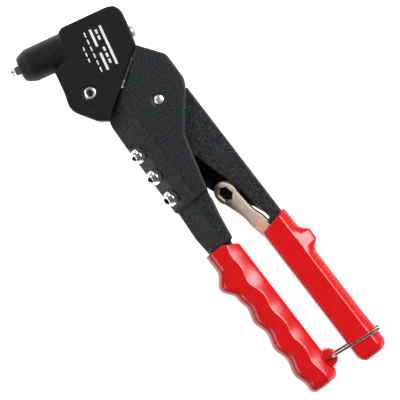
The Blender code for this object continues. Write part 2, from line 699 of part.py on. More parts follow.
def swivel_stud(carrier):
    """Hollow stud with a flange that holds the head to the body."""
    bore = ROD_RADIUS + RUN
    flange_face = -STUD_SEAT - GAP
    profile = [(bore, flange_face - STUD_FLANGE), (STUD_FLANGE_RADIUS, flange_face - STUD_FLANGE),
               (STUD_FLANGE_RADIUS, flange_face), (STUD_RADIUS, flange_face),
               (STUD_RADIUS, STUD_LENGTH + NUT_LENGTH), (bore, STUD_LENGTH + NUT_LENGTH)]
    return add("swivel_stud", turned(profile, SWIVEL_FRAME), carrier, "dark_steel")


def swivel_nut(carrier):
    mesh = ring_shape(STUD_RADIUS + GAP, NUT_RADIUS, STUD_LENGTH + GAP, STUD_LENGTH + NUT_LENGTH,
                      SWIVEL_FRAME)
    return add("swivel_nut", mesh, carrier, "bright_steel")


def detent_plate(carrier):
    """Click plate with a ring of holes and two flats that key it in the body."""
    low = JOINT_GAP / 2
    plate = add("detent_plate", ring_shape(STUD_RADIUS + GAP, PLATE_RADIUS, low, low + PLATE_THICKNESS,
                                           SWIVEL_FRAME, 48), carrier, "bright_steel")
    for side in (-1, 1):
        edge = side * (HALF_BODY - PLATE_EDGE)
        far = side * (PLATE_RADIUS + 5)
        cut(plate, prism([(-30, edge), (30, edge), (30, far), (-30, far)], -1.0, 5.0, SWIVEL_FRAME))
    for click in range(CLICKS):
        angle = 2 * math.pi * click / CLICKS
        place = Matrix.Translation((CLICK_RADIUS * math.cos(angle), CLICK_RADIUS * math.sin(angle), 0.0))
        cut(plate, rod_shape(BALL_RADIUS + CLICK_PLAY, -1.0, 3.0, SWIVEL_FRAME @ place, 12))
    return plate


# Body with the fixed handle

def body_outline():
    face = JOINT_GAP / 2
    top = on_swivel(face, JOINT_TOP)
    bottom = on_swivel(face, JOINT_BOTTOM)
    points = [tuple(bottom), (-4.0, -34.7), (16.7, -35.5), (BODY_END, -36.0), (BODY_END, -10.2), (37.7, -3.0),
              (27.6, -0.3), (4.1, 18.4), (-1.2, 21.0), (-20.1, 21.5), tuple(top)]
    radii = [0.5, 3, 20, 1, 1, 20, 12, 2, 3, 6, 0.5]
    return rounded(points, radii)


def flank_normal(direction):
    """Normal of a flank that falls away from the ridge in a direction of the plane."""
    flat = Vector(direction).normalized() * math.sin(FLANK_SLOPE)
    return Vector((flat.x, flat.y, math.cos(FLANK_SLOPE)))


def body_block():
    mesh = slab(body_outline(), HALF_BODY)
    turn = Vector((RIDGE_TURN, RIDGE)) - RIDGE_START
    for side in (-1, 1):
        for point, direction in (((0.0, RIDGE), (0.0, -1.0)), (RIDGE_START, (turn.y, -turn.x))):
            normal = flank_normal(direction)
            normal.z *= side
            plane_cut(mesh, (point[0], point[1], side * HALF_BODY), normal)
    return mesh


def handle_block():
    outline = [(BODY_END - 6.0, -33.0), (65.6, -34.5), (85.2, -35.8), (HANDLE_END, -34.8), (HANDLE_END, -16.2),
               (82.2, -13.9), (63.2, -9.9), (BODY_END - 6.0, -11.0)]
    mesh = slab(rounded(outline, [0, 3, 12, 0, 0, 12, 0, 0]), HALF_HANDLE)
    for side in (-1, 1):
        normal = flank_normal((0.0, -1.0))
        normal.z *= side
        plane_cut(mesh, (0.0, HANDLE_RIDGE, side * HALF_HANDLE), normal)
    return mesh


def tang_outline(start, end, inner, outer, grow=0.0):
    points = [(start, outer - grow), (end + grow, outer - grow), (end + grow, inner + grow),
              (start, inner + grow)]
    return rounded(points, [0, 4, 4, 0])


def channel_outline():
    """Slot in the body that the lever swings in, and the space for its toes."""
    left = TOE_ROOM_START
    return [tuple(on_swivel(left + 3.0, -19.0)), (12.0, -13.0), (BODY_END + 5.0, -13.5), (BODY_END + 5.0, 26.0),
            (-4.5, 26.0), (-4.5, 20.2), (-8.5, 20.2), tuple(on_swivel(left + 2.0, 11.0)),
            tuple(on_swivel(left, 8.5)), tuple(on_swivel(left, -6.0))]


def seat_cutter():
    """Wedge that leaves the sloping strip the spare nosepieces stand on."""
    run = 20.0
    drop = run * math.tan(SEAT_SLOPE)
    top = seat_height(SEAT_TOP)
    corners = [(SEAT_TOP, top), (SEAT_TOP - run, top - drop), (SEAT_TOP - run, top + 20),
               (SEAT_TOP, top + 20)]
    frame = Matrix(((0, 0, 1, 0), (1, 0, 0, 0), (0, 1, 0, 0), (0, 0, 0, 1)))
    return prism(corners, SEAT_START, SEAT_END, frame)


def seat_height(y):
    """Height of the sloping strip above the middle plane."""
    top = HALF_BODY - (RIDGE - SEAT_TOP) * math.tan(FLANK_SLOPE)
    return top - (SEAT_TOP - y) * math.tan(SEAT_SLOPE)


def seat_frame(index):
    place = (SEAT_FIRST + index * SEAT_PITCH, SEAT_CENTRE, seat_height(SEAT_CENTRE))
    return axis_frame(place, (0.0, -math.sin(SEAT_SLOPE), math.cos(SEAT_SLOPE)))


def body_casting(carrier):
    body = add("body_casting", body_block(), carrier, "black_paint")
    join(body, handle_block())
    join(body, slab(tang_outline(HANDLE_END - 3.0, TANG_END, TANG_INNER, TANG_OUTER), HALF_TANG))
    cut(body, slab(channel_outline(), HALF_LEVER + LEVER_PLAY))
    cut(body, rod_shape(STUD_RADIUS + GAP, -1.0, STUD_LENGTH + 1, SWIVEL_FRAME))
    cut(body, rod_shape(NUT_RADIUS + GAP, STUD_LENGTH, TOE_ROOM_START + 1.0, SWIVEL_FRAME))
    recess = JOINT_GAP / 2 + PLATE_THICKNESS + GAP
    cut(body, rod_shape(PLATE_RADIUS + GAP, -2.0, recess, SWIVEL_FRAME, 48))
    cut(body, rod_shape(PIN_RADIUS + PIN_GAP, -HALF_BODY - 1, HALF_BODY + 1, upright((0, 0))))
    for side in (-1, 1):
        low, high = sorted((side * (HALF_BODY - PIN_SINK_DEPTH), side * (HALF_BODY + 1)))
        cut(body, rod_shape(PIN_RADIUS + PIN_SINK_WIDTH, low, high, upright((0, 0))))
    cut(body, seat_cutter())
    for index in range(SEAT_COUNT):
        cut(body, rod_shape(SCREW_RADIUS + GAP, -SEAT_DEPTH, 1.0, seat_frame(index)))
    return body


def lever_pin(carrier):
    """Riveted pin. Each end is bevelled, and its flat is flush with the body's face."""
    reach = HALF_BODY
    flat = PIN_RADIUS - PIN_BEVEL
    profile = [(0.0, -reach), (flat, -reach), (PIN_RADIUS, PIN_BEVEL - reach),
               (PIN_RADIUS, reach - PIN_BEVEL), (flat, reach), (0.0, reach)]
    return add("lever_pin", turned(profile, upright((0, 0))), carrier, "bright_steel")


# Lever

def lever_outline():
    toe = arc(TOE, TOE_RADIUS, math.degrees(SWIVEL_TILT) - 20, math.degrees(SWIVEL_TILT) + 200, 10)
    toe_side = TOE_RADIUS - 0.2
    inner_root = on_swivel(TOE_PLACE + 0.2, -TOE_ARM + 5.4)
    outer_root = SWIVEL_SIDE * 2.0 - SWIVEL_OUT * (toe_side + 1.6)
    hub = arc((0.0, 0.0), 5.2, 190, 262, 4)
    body = [(4.0, -9.2), (25.0, -9.8), (40.7, -4.6), (64.1, 2.7), (77.9, 6.7), (LEVER_GRIP_START - 1.0, 11.2),
            (LEVER_GRIP_START - 1.0, LEVER_OUTER), (3.9, LEVER_OUTER)]
    throat = [tuple(SWIVEL_OUT * 11.6 + SWIVEL_SIDE * 4.4), tuple(SWIVEL_OUT * 6.5 - SWIVEL_SIDE * 0.2),
              tuple(SWIVEL_OUT * 3.4 + SWIVEL_SIDE * 3.9)]
    return body + throat + [tuple(inner_root)] + toe + [tuple(outer_root)] + hub


def web_outline():
    """Web on the lever's inner side that the wrench lies in."""
    return [(30.0, -8.0), (34.0, -9.8), (63.0, -9.8), (68.0, -7.9), (77.0, -6.5), (90.5, 6.7), (100.0, 10.6),
            (100.0, 14.0), (64.0, 8.0), (36.0, 0.0)]


def lever_casting(carrier):
    """Casting with a web, a slot for the pull rod and a pocket that opens upwards for the wrench."""
    lever = add("lever_casting", slab(lever_outline(), HALF_LEVER), carrier, "black_paint")
    join(lever, prism(web_outline(), STEP - HALF_LEVER, WEB_TOP))
    pocket_floor = -WRENCH_THICKNESS / 2 - WRENCH_POCKET
    pocket_top = 3.0 * HALF_LEVER
    half = WRENCH_SHANK / 2 + WRENCH_POCKET
    shank = [(0.0, -half), (WRENCH_OPEN, -half), (WRENCH_OPEN, half), (0.0, half)]
    cut(lever, rod_shape(WRENCH_RING_RADIUS + WRENCH_POCKET, pocket_floor, pocket_top, wrench_frame()))
    cut(lever, prism(shank, pocket_floor, pocket_top, wrench_frame()))
    tang = tang_outline(LEVER_GRIP_START - 4.0, LEVER_TANG_END, LEVER_TANG_OUTER, LEVER_TANG_INNER)
    join(lever, slab(tang, HALF_LEVER_TANG))
    rod_slot = ROD_RADIUS + RUN + 0.3
    slot = [tuple(on_swivel(t, p)) for t, p in ((10.0, -4.6), (45.0, -4.6), (45.0, 12.0), (10.0, 12.0))]
    cut(lever, slab(slot, rod_slot))
    cut(lever, rod_shape(PIN_RADIUS + PIN_GAP, -HALF_LEVER - 1, HALF_LEVER + 1, upright((0, 0))))
    cut(lever, wrench_block(WRENCH_POCKET))
    return lever


# Wrench

def wrench_frame():
    frame = Matrix.Rotation(WRENCH_TURN, 4, "Z") @ Matrix.Rotation(WRENCH_LEAN, 4, "X")
    return Matrix.Translation((*WRENCH_CENTRE, 0.0)) @ frame


def wrench_block(grow=0.0):
    """Ring and shank in one outline, tilted about the shank's long axis."""
    ring = WRENCH_RING_RADIUS + grow
    neck = WRENCH_NECK / 2 + grow
    shank = WRENCH_SHANK / 2 + grow
    end = WRENCH_LENGTH + grow
    start = math.degrees(math.asin(0.82))
    points = arc((0.0, 0.0), ring, start, 360 - start, 16)
    points += [(19.0, -neck), (24.0, -shank + 0.3), (30.0, -shank), (end - 2, -shank), (end, -shank + 2),
               (end, shank - 2), (end - 2, shank), (30.0, shank), (24.0, shank - 0.3), (19.0, neck)]
    return slab(points, WRENCH_THICKNESS / 2 + grow, wrench_frame())


def nosepiece_wrench(carrier):
    wrench = add("nosepiece_wrench", wrench_block(), carrier, "nickel_steel")
    cut(wrench, slab(hexagon(WRENCH_FLATS), WRENCH_THICKNESS, wrench_frame()))
    return wrench


# Grips

def bump(x, centre, width, height):
    """Raised cosine of one hump."""
    offset = abs(x - centre) / width
    return height * 0.5 * (1 + math.cos(2 * math.pi * offset)) if offset < 0.5 else 0.0


def grip_ring(x, edge, crease, inner, shrink):
    """Section of a grip: flat faces, a facet from the crease to the inner edge, a round outer edge."""
    height = HALF_GRIP - shrink
    facet = GRIP_FACET - shrink / 2
    toward = 1.0 if inner > edge else -1.0
    edge += toward * shrink
    inner -= toward * shrink
    half = [(edge, 0.0), (edge + toward * 0.5, height * 0.42), (edge + toward * 1.8, height * 0.74),
            (edge + toward * 4.2, height * 0.94), (edge + toward * 7.0, height), (crease, height),
            (inner, facet)]
    lower = [(y, -z) for y, z in reversed(half[1:])]
    return [(x, y, z) for y, z in half + lower]


def end_shrink(x, end, radius):
    """How much a section shrinks towards a rounded end."""
    inside = max(0.0, x - (end - radius))
    return radius - math.sqrt(max(radius ** 2 - inside ** 2, 0.0))


def stations(start, end, step, radius):
    count = int((end - radius - start) / step)
    straight = [start + (end - radius - start) * index / count for index in range(count + 1)]
    return straight + [end - radius + radius * math.sin(math.radians(a)) for a in (25, 50, 75)]


def fixed_grip_edge(x):
    wave = WAVE_HEIGHT * math.cos(2 * math.pi * (x - WAVE_FIRST) / WAVE_PITCH) if x > WAVE_START else 0.0
    return FIXED_GRIP_OUTER - bump(x, GUARD_CENTRE, GUARD_WIDTH, GUARD_HEIGHT) - wave


def fixed_grip_crease(x):
    wave = WAVE_HEIGHT * math.cos(2 * math.pi * (x - WAVE_FIRST) / WAVE_PITCH)
    return FIXED_GRIP_CREASE - wave - bump(x, GUARD_CENTRE, GUARD_WIDTH, GUARD_CREASE)


def fixed_grip(carrier):
    rings = []
    for x in stations(FIXED_GRIP_START, FIXED_GRIP_END, 5.25, GRIP_END_ROUND):
        shrink = end_shrink(x, FIXED_GRIP_END, GRIP_END_ROUND) * GRIP_END_SHARE
        rings.append(grip_ring(x, fixed_grip_edge(x), fixed_grip_crease(x), FIXED_GRIP_INNER, shrink))
    grip = add("fixed_grip", loft(rings), carrier, "red_plastic")
    lug = arc(LUG_CENTRE, LUG_RADIUS, -20, 200, 12)
    join(grip, slab(lug, LUG_HALF))
    tang = tang_outline(FIXED_GRIP_START - 2, TANG_END, TANG_INNER, TANG_OUTER, GAP)
    cut(grip, slab(tang, HALF_TANG + GAP))
    cut(grip, rod_shape(WIRE_RADIUS + 0.3, -LUG_HALF - 1, LUG_HALF + 1, upright(LATCH_PIVOT), 16))
    return grip


def lever_grip(carrier):
    rings = []
    for x in stations(LEVER_GRIP_START, LEVER_GRIP_END, 4.8, GRIP_END_ROUND):
        shrink = end_shrink(x, LEVER_GRIP_END, GRIP_END_ROUND) * GRIP_END_SHARE
        edge = LEVER_GRIP_INNER
        outer = LEVER_GRIP_OUTER + bump(x, THUMB_CENTRE, THUMB_WIDTH, THUMB_HEIGHT)
        rings.append(grip_ring(x, edge, LEVER_GRIP_CREASE, outer, shrink))
    grip = add("lever_grip", loft(rings), carrier, "red_plastic")
    tang = tang_outline(LEVER_GRIP_START - 2, LEVER_TANG_END, LEVER_TANG_OUTER, LEVER_TANG_INNER, GAP)
    cut(grip, slab(tang, HALF_LEVER_TANG + GAP))
    cut(grip, wrench_block(WRENCH_POCKET))
    return grip


# Latch

def bent(points, bend, steps=4):
    """Centre line of a bent wire, with each corner replaced by a short arc."""
    line = [points[0]]
    for before, here, after in zip(points, points[1:], points[2:]):
        start = here + (before - here).normalized() * bend
        end = here + (after - here).normalized() * bend
        for step in range(steps + 1):
            share = step / steps
            line.append(start * (1 - share) ** 2 + here * 2 * share * (1 - share) + end * share ** 2)
    return line + [points[-1]]


def wire_latch(carrier):
    """Bail of spring wire. Its ends sit in the lug, and its bar lies over the lever's grip."""
    leg = HALF_GRIP + GAP + WIRE_RADIUS
    far = LATCH_PIVOT + LATCH_REACH * unit(LATCH_TILT)
    near = LATCH_PIVOT
    corners = [Vector((*near, WIRE_HOOK)), Vector((*near, leg)), Vector((*far, leg)),
               Vector((*far, -leg)), Vector((*near, -leg)), Vector((*near, -WIRE_HOOK))]
    line = bent(corners, WIRE_BEND)
    curve = bpy.data.curves.new("wire_latch", "CURVE")
    curve.dimensions = "3D"
    curve.bevel_depth = WIRE_RADIUS * MM
    curve.bevel_resolution = 2
    curve.use_fill_caps = True
    spline = curve.splines.new("POLY")
    spline.points.add(len(line) - 1)
    shift = Vector(carrier["tool_place"])
    for point, place in zip(spline.points, line):
        point.co = (*(place * MM - shift), 1.0)
    made = bpy.data.objects.new("wire_latch", curve)
    bpy.context.collection.objects.link(made)
    made.parent = carrier
    curve.materials.append(material("bright_steel"))
    return made


def build():
    clear_scene()
    frame = empty("body_frame", (0.0, 0.0))
    lever = empty("lever_axis", (0.0, 0.0), frame)
    rod = empty("rod_axis", tuple(SWIVEL), frame)
    head = empty("head_axis", tuple(SWIVEL), frame)
    rocker_axis = empty("rocker_axis", tuple(ROCKER_PIVOT), head)
    case = empty("case_axis", tuple(NOSE), head)
    jaw_axis = empty("jaw_axis", tuple(NOSE), case)
    latch = empty("latch_axis", tuple(LATCH_PIVOT), frame)

    body_casting(frame)
    lever_pin(frame)
    fixed_grip(frame)
    swivel_stud(frame)
    swivel_nut(frame)
    detent_plate(frame)
    for index in range(SEAT_COUNT):
        nosepiece("spare_nosepiece_" + str(index + 1), seat_frame(index), NOSEPIECE_BORES[index + 1], frame)

    lever_casting(lever)
    lever_grip(lever)
    nosepiece_wrench(lever)

    pull_rod(rod)
    rod_nut(rod)

    head_casting(head)
    nosepiece("fitted_nosepiece", axis_frame(on_nose(BARREL_END), NOSE_OUT), NOSEPIECE_BORES[0], head)
    rocker_pin(head)
    spring_plug(head)
    detents(head)

    rocker(rocker_axis)
    jaw_case(case)
    tail_tube(case)
    tail_collar(case)
    springs(head, case)
    jaws(jaw_axis)
    jaw_pusher(jaw_axis)
    wire_latch(latch)


build()
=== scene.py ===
# %% [markdown]
# # Hand riveter
# A swivel-head riveter lies flat with its handles latched shut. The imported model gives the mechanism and
# every place and size. This script gives the visible pieces their finished shapes and surfaces.

# %% Load the frame
import json
import math

import bmesh
import bpy
import numpy as np
from mathutils import Matrix, Vector


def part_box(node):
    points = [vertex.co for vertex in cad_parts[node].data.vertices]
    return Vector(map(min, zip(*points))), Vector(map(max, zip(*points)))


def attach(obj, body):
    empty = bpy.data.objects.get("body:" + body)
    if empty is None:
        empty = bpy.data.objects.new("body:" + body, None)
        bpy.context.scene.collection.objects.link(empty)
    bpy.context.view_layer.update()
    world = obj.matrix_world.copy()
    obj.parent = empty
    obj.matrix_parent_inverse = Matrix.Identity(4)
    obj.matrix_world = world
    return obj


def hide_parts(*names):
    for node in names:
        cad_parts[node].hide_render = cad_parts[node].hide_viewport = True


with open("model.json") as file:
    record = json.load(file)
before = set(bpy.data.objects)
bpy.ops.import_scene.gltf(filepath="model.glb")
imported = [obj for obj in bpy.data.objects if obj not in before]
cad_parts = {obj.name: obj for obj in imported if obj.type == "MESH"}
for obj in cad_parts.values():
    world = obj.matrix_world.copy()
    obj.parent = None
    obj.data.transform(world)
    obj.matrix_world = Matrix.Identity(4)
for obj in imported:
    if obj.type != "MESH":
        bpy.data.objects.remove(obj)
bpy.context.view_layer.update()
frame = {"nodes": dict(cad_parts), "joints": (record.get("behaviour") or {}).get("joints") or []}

MM = 0.001
joints = {joint["name"]: joint for joint in frame["joints"]}
lever_pivot = np.array(joints["handle_swing"]["pos_m"])
rocker_pivot = np.array(joints["rocker_pivot"]["pos_m"])
latch_pivot = np.array(joints["latch_swing"]["pos_m"])
swivel_point = np.array(joints["head_swivel"]["pos_m"])
swivel_axis = np.array(joints["head_swivel"]["axis"])
nose_axis = np.array(joints["jaw_case_slide"]["axis"])
MIDDLE = lever_pivot[2]
print("pieces in the frame:", len(frame["nodes"]), "middle plane at", round(MIDDLE / MM, 2), "mm")

# %% [markdown]
# ## Surfaces from grids
# Every new piece here is a grid of points, worked out in one go with numpy: one direction runs along or
# across the piece, the other runs around it. A grid is closed round one way, and its two ends either meet,
# as in a ring, or run to a pole.

# %% Grid helpers
def mesh_from_grid(name, grid, ends="poles"):
    """Skin of quads over grid[row, column]. Columns close round. Rows end in poles or meet as a ring."""
    rows, columns = grid.shape[:2]
    points = grid.reshape(-1, 3)
    strips = rows if ends == "ring" else rows - 1
    row, column = np.meshgrid(np.arange(strips), np.arange(columns), indexing="ij")
    after_row, after_column = (row + 1) % rows, (column + 1) % columns
    quads = np.stack([row * columns + column, row * columns + after_column,
                      after_row * columns + after_column, after_row * columns + column], -1).reshape(-1, 4)
    faces = quads.tolist()
    if ends == "poles":
        first, last = len(points), len(points) + 1
        points = np.vstack([points, grid[0].mean(0), grid[-1].mean(0)])
        around = np.arange(columns)
        ahead = (around + 1) % columns
        start = (rows - 1) * columns
        faces += np.stack([ahead, around, np.full(columns, first)], -1).tolist()
        faces += np.stack([start + around, start + ahead, np.full(columns, last)], -1).tolist()
    data = bpy.data.meshes.new(name)
    data.from_pydata(points.tolist(), [], faces)
    return face_outwards(name, data)


def face_outwards(name, data):
    """Merge doubles, point the faces out by the sign of the volume, and link the piece."""
    work = bmesh.new()
    work.from_mesh(data)
    bmesh.ops.remove_doubles(work, verts=work.verts, dist=1e-6)
    bmesh.ops.recalc_face_normals(work, faces=work.faces)
    if work.calc_volume(signed=True) < 0:
        bmesh.ops.reverse_faces(work, faces=work.faces)
    work.to_mesh(data)
    work.free()
    data.shade_smooth()
    piece = bpy.data.objects.new(name, data)
    bpy.context.scene.collection.objects.link(piece)
    return piece


def frame_on(origin, direction):
    """4 x 4 array: local z runs along the direction, local x lies in the tool's own plane."""
    out = np.array(direction, float)
    out = out / np.linalg.norm(out)
    side = np.array([-out[1], out[0], 0.0])
    side = side / np.linalg.norm(side) if np.linalg.norm(side) > 1e-9 else np.array([1.0, 0.0, 0.0])
    matrix = np.eye(4)
    matrix[:3, 0], matrix[:3, 1], matrix[:3, 2], matrix[:3, 3] = side, np.cross(out, side), out, origin
    return matrix


def placed(grid, matrix):
    return grid @ matrix[:3, :3].T + matrix[:3, 3]


# %% [markdown]
# ## Finishes
# Colours are written as the hex values a paint chart gives, and one function turns them to the linear
# numbers that the shader works with. One small function adds a node, sets its inputs and links them.

# %% Shader helpers
def linear(code):
    """sRGB hex to linear RGBA."""
    parts = np.array([int(code[i:i + 2], 16) / 255 for i in (1, 3, 5)])
    flat = np.where(parts <= 0.04045, parts / 12.92, ((parts + 0.055) / 1.055) ** 2.4)
    return (*flat.tolist(), 1.0)


def add_node(tree, kind, settings=None, **inputs):
    """A node of the given kind. Each input is a number, a colour or another node's output socket.

    An input is given by its name, with _ for a space, or as i and its number where names repeat.
    """
    made = tree.nodes.new(kind)
    for key, value in (settings or {}).items():
        setattr(made, key, value)
    for key, value in inputs.items():
        by_number = key[0] == "i" and key[1:].isdigit()
        socket = made.inputs[int(key[1:]) if by_number else key.replace("_", " ")]
        if isinstance(value, bpy.types.NodeSocket):
            tree.links.new(value, socket)
        else:
            socket.default_value = value
    return made


def new_finish(name):
    """An empty material with its tree, its shader and the object's own coordinates."""
    made = bpy.data.materials.new(name)
    made.use_nodes = True
    tree = made.node_tree
    shader = tree.nodes["Principled BSDF"]
    place = add_node(tree, "ShaderNodeTexCoord").outputs["Object"]
    return made, tree, shader, place


def grains(size):
    """Noise scale whose features are about this many millimetres across."""
    return 1.0 / (size * MM)


# %% [markdown]
# ### Powder-coated die casting
# The castings are aluminium alloy under a black textured powder coat. The coat cures into fine grains under a
# millimetre across, so it never mirrors anything: it shows as a dull black with pale specks where the light
# catches the grains, and these glints are painted into the colour. The head's coat is a darker copy, painted
# shade for its weaker sheen, so two finishes are made.

# %% Powder coat
COAT_GRAIN, COAT_CLOUD, COAT_RELIEF = 0.8, 14.0, 0.22      # millimetres


def powder_coat(name, dark, pale, rough_low, rough_high):
    """Noise grains give the painted glint specks, the roughness and the relief. A wide, weak cloud varies the
    tone.
    """
    made, tree, shader, place = new_finish(name)
    grain = add_node(tree, "ShaderNodeTexNoise", Vector=place, Scale=grains(COAT_GRAIN), Detail=3.0,
                     Roughness=0.65)
    cloud = add_node(tree, "ShaderNodeTexNoise", Vector=place, Scale=grains(COAT_CLOUD), Detail=2.0)
    # The pale end of this ramp paints glints into the colour: painted highlights where light catches the
    # grains.
    painted_glint_speck = add_node(tree, "ShaderNodeValToRGB", Fac=grain.outputs["Fac"])
    painted_glint_speck.color_ramp.elements[0].position = 0.44
    painted_glint_speck.color_ramp.elements[0].color = linear(dark)
    painted_glint_speck.color_ramp.elements[1].position = 0.66
    painted_glint_speck.color_ramp.elements[1].color = linear(pale)
    tint = add_node(tree, "ShaderNodeMix", {"data_type": "RGBA", "blend_type": "MULTIPLY"}, i0=0.4,
                    i6=painted_glint_speck.outputs["Color"], i7=cloud.outputs["Color"])
    tree.links.new(tint.outputs[2], shader.inputs["Base Color"])
    rough = add_node(tree, "ShaderNodeMapRange", Value=grain.outputs["Fac"], To_Min=rough_low,
                     To_Max=rough_high)
    tree.links.new(rough.outputs["Result"], shader.inputs["Roughness"])
    bump = add_node(tree, "ShaderNodeBump", Strength=0.9, Distance=COAT_RELIEF * MM,
                    Height=grain.outputs["Fac"])
    tree.links.new(bump.outputs["Normal"], shader.inputs["Normal"])
    shader.inputs["IOR"].default_value = 1.5
    shader.inputs["Specular IOR Level"].default_value = 0.3
    return made


# %% [markdown]
# ### Dipped PVC
# The grips are plastisol: the handles are dipped and the skin is cured. It is soft, glossy and a little
# uneven, like thick paint, with a faint orange-peel waviness a few millimetres across.

# %% Dipped PVC
PVC_WAVE, PVC_PEEL, PVC_RELIEF = 9.0, 0.7, 0.3             # millimetres


def dipped_pvc():
    """Red plastisol. Wide waves tint it, fine peel changes its roughness, and both make its relief."""
    made, tree, shader, place = new_finish("dipped_pvc")
    wave = add_node(tree, "ShaderNodeTexNoise", Vector=place, Scale=grains(PVC_WAVE), Detail=2.0)
    fine = add_node(tree, "ShaderNodeTexNoise", Vector=place, Scale=grains(PVC_PEEL), Detail=2.0)
    tone = add_node(tree, "ShaderNodeValToRGB", Fac=wave.outputs["Fac"])
    tone.color_ramp.elements[0].position = 0.3
    tone.color_ramp.elements[0].color = linear("#cf1218")
    tone.color_ramp.elements[1].position = 0.7
    tone.color_ramp.elements[1].color = linear("#d8161c")
    tree.links.new(tone.outputs["Color"], shader.inputs["Base Color"])
    rough = add_node(tree, "ShaderNodeMapRange", Value=fine.outputs["Fac"], To_Min=0.20, To_Max=0.28)
    tree.links.new(rough.outputs["Result"], shader.inputs["Roughness"])
    mixed = add_node(tree, "ShaderNodeMath", {"operation": "MULTIPLY_ADD"}, i0=fine.outputs["Fac"], i1=0.15,
                     i2=wave.outputs["Fac"])
    bump = add_node(tree, "ShaderNodeBump", Strength=0.15, Distance=PVC_RELIEF * MM,
                    Height=mixed.outputs["Value"])
    tree.links.new(bump.outputs["Normal"], shader.inputs["Normal"])
    shader.inputs["IOR"].default_value = 1.53
    shader.inputs["Specular IOR Level"].default_value = 0.4
    shader.inputs["Subsurface Weight"].default_value = 0.04
    shader.inputs["Subsurface Radius"].default_value = (2.0 * MM, 0.6 * MM, 0.4 * MM)
    return made


# %% [markdown]
# ### Plated and plain steel
# Chrome, zinc and nickel plate and plain hardened steel differ in colour and in how far their polish goes.
# One function sets them all: faint cloudy stains a few millimetres wide change the colour and the roughness,
# and a fine relief breaks up the highlight, as the marks of turning and stamping do.

# %% Steels
STEEL_CLOUD = 3.0                                          # millimetres


def steel(name, pale, dark, rough_low, rough_high, line_mm, depth_mm):
    """Metal between two tones and two roughnesses, with a relief of the given width and depth."""
    made, tree, shader, place = new_finish(name)
    cloud = add_node(tree, "ShaderNodeTexNoise", Vector=place, Scale=grains(STEEL_CLOUD), Detail=4.0)
    lines = add_node(tree, "ShaderNodeTexNoise", Vector=place, Scale=grains(line_mm), Detail=3.0,
                     Roughness=0.7)
    tone = add_node(tree, "ShaderNodeValToRGB", Fac=cloud.outputs["Fac"])
    tone.color_ramp.elements[0].position = 0.35
    tone.color_ramp.elements[0].color = linear(dark)
    tone.color_ramp.elements[1].position = 0.65
    tone.color_ramp.elements[1].color = linear(pale)
    tree.links.new(tone.outputs["Color"], shader.inputs["Base Color"])
    rough = add_node(tree, "ShaderNodeMapRange", Value=cloud.outputs["Fac"], To_Min=rough_low,
                     To_Max=rough_high)
    tree.links.new(rough.outputs["Result"], shader.inputs["Roughness"])
    bump = add_node(tree, "ShaderNodeBump", Strength=0.3, Distance=depth_mm * MM,
                    Height=lines.outputs["Fac"])
    tree.links.new(bump.outputs["Normal"], shader.inputs["Normal"])
    shader.inputs["Metallic"].default_value = 1.0
    return made


# %% [markdown]
# ### Screen print
# The print on the head is a thin layer of dull white ink. The coat's grains show through it as greyer specks.

# %% Screen print
PRINT_GRAIN = 0.6                                          # millimetres


def screen_print():
    """White ink with grey specks."""
    made, tree, shader, place = new_finish("white_screen_print")
    grain = add_node(tree, "ShaderNodeTexNoise", Vector=place, Scale=grains(PRINT_GRAIN), Detail=3.0)
    tone = add_node(tree, "ShaderNodeValToRGB", Fac=grain.outputs["Fac"])
    tone.color_ramp.elements[0].position = 0.30
    tone.color_ramp.elements[0].color = linear("#9a9c9c")
    tone.color_ramp.elements[1].position = 0.45
    tone.color_ramp.elements[1].color = linear("#e2e3e2")
    tree.links.new(tone.outputs["Color"], shader.inputs["Base Color"])
    shader.inputs["Roughness"].default_value = 0.6
    return made


# %% [markdown]
# ### The finishes
# The hexagons are chrome plated, the wire and the swivel's pieces are zinc plated, and the pins are zinc
# plated and dulled by the hammer. The wrench is nickel plated and tumbled, which leaves a warm satin. The
# pieces that grip and push are hardened and only oiled.

# %% Finishes
# The head's coat is a darker copy of the body's: painted shade for the weaker sheen the head catches, where
# the body's paler specks are painted sheen.
head_coat_painted_shade = powder_coat("powder_coat_head", "#010202", "#171a1d", 0.42, 0.62)
coat = powder_coat("powder_coat_body", "#0a0c0d", "#3f4447", 0.40, 0.58)
pvc = dipped_pvc()
chrome = steel("satin_chrome_plate", "#fbf9f6", "#e8e6e2", 0.20, 0.32, 0.5, 0.005)
zinc = steel("zinc_plated_steel", "#e4e2dd", "#bcb9b3", 0.16, 0.30, 0.4, 0.02)
nickel = steel("nickel_plated_stamping", "#f8eadb", "#eedecd", 0.58, 0.68, 0.8, 0.03)
peened = steel("peened_zinc_plate", "#f4f2f4", "#e4e2e4", 0.34, 0.46, 0.4, 0.02)
hardened = steel("oiled_hardened_steel", "#6e6c6b", "#454444", 0.28, 0.45, 0.5, 0.02)
ink = screen_print()
finishes = (head_coat_painted_shade, coat, pvc, chrome, zinc, nickel, peened, hardened, ink)
print("finishes:", [item.name for item in finishes])

# %% [markdown]
# ## Putting a piece in place
# A new piece names the body it rides on, a material slot, the finish it takes, and the plain solids it
# stands for.

# %% Fit a piece
def fit(piece, body, slot, finish, *stands_for):
    """Give the piece its finish and its body, and hide the plain solids it stands for. The slot is not used.
    """
    piece.data.materials.clear()
    piece.data.materials.append(finish)
    if stands_for:
        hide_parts(*stands_for)
    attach(piece, body)
    print(piece.name, len(piece.data.polygons), "faces")
    return piece


# %% [markdown]
# ## Castings
# A die casting has no sharp corners: molten metal fills rounded edges, and the powder coat rounds them again.
# The solid model's castings have the right planes and pockets but knife edges. Here a copy is cut into even
# cells about half a millimetre wide, and each point is moved towards the mean of its neighbours again and
# again, which rounds the edges and leaves the flats flat. The machined face at the swivel joint stays sharp,
# because points close to that plane move much less.

# %% Soften a casting
JOINT_HOLD = 1.2 * MM      # points this close to the joint's plane move less
LEAST_FREEDOM = 0.12
SMOOTH_STEP = 0.6          # share of the way to the neighbours' mean in one round


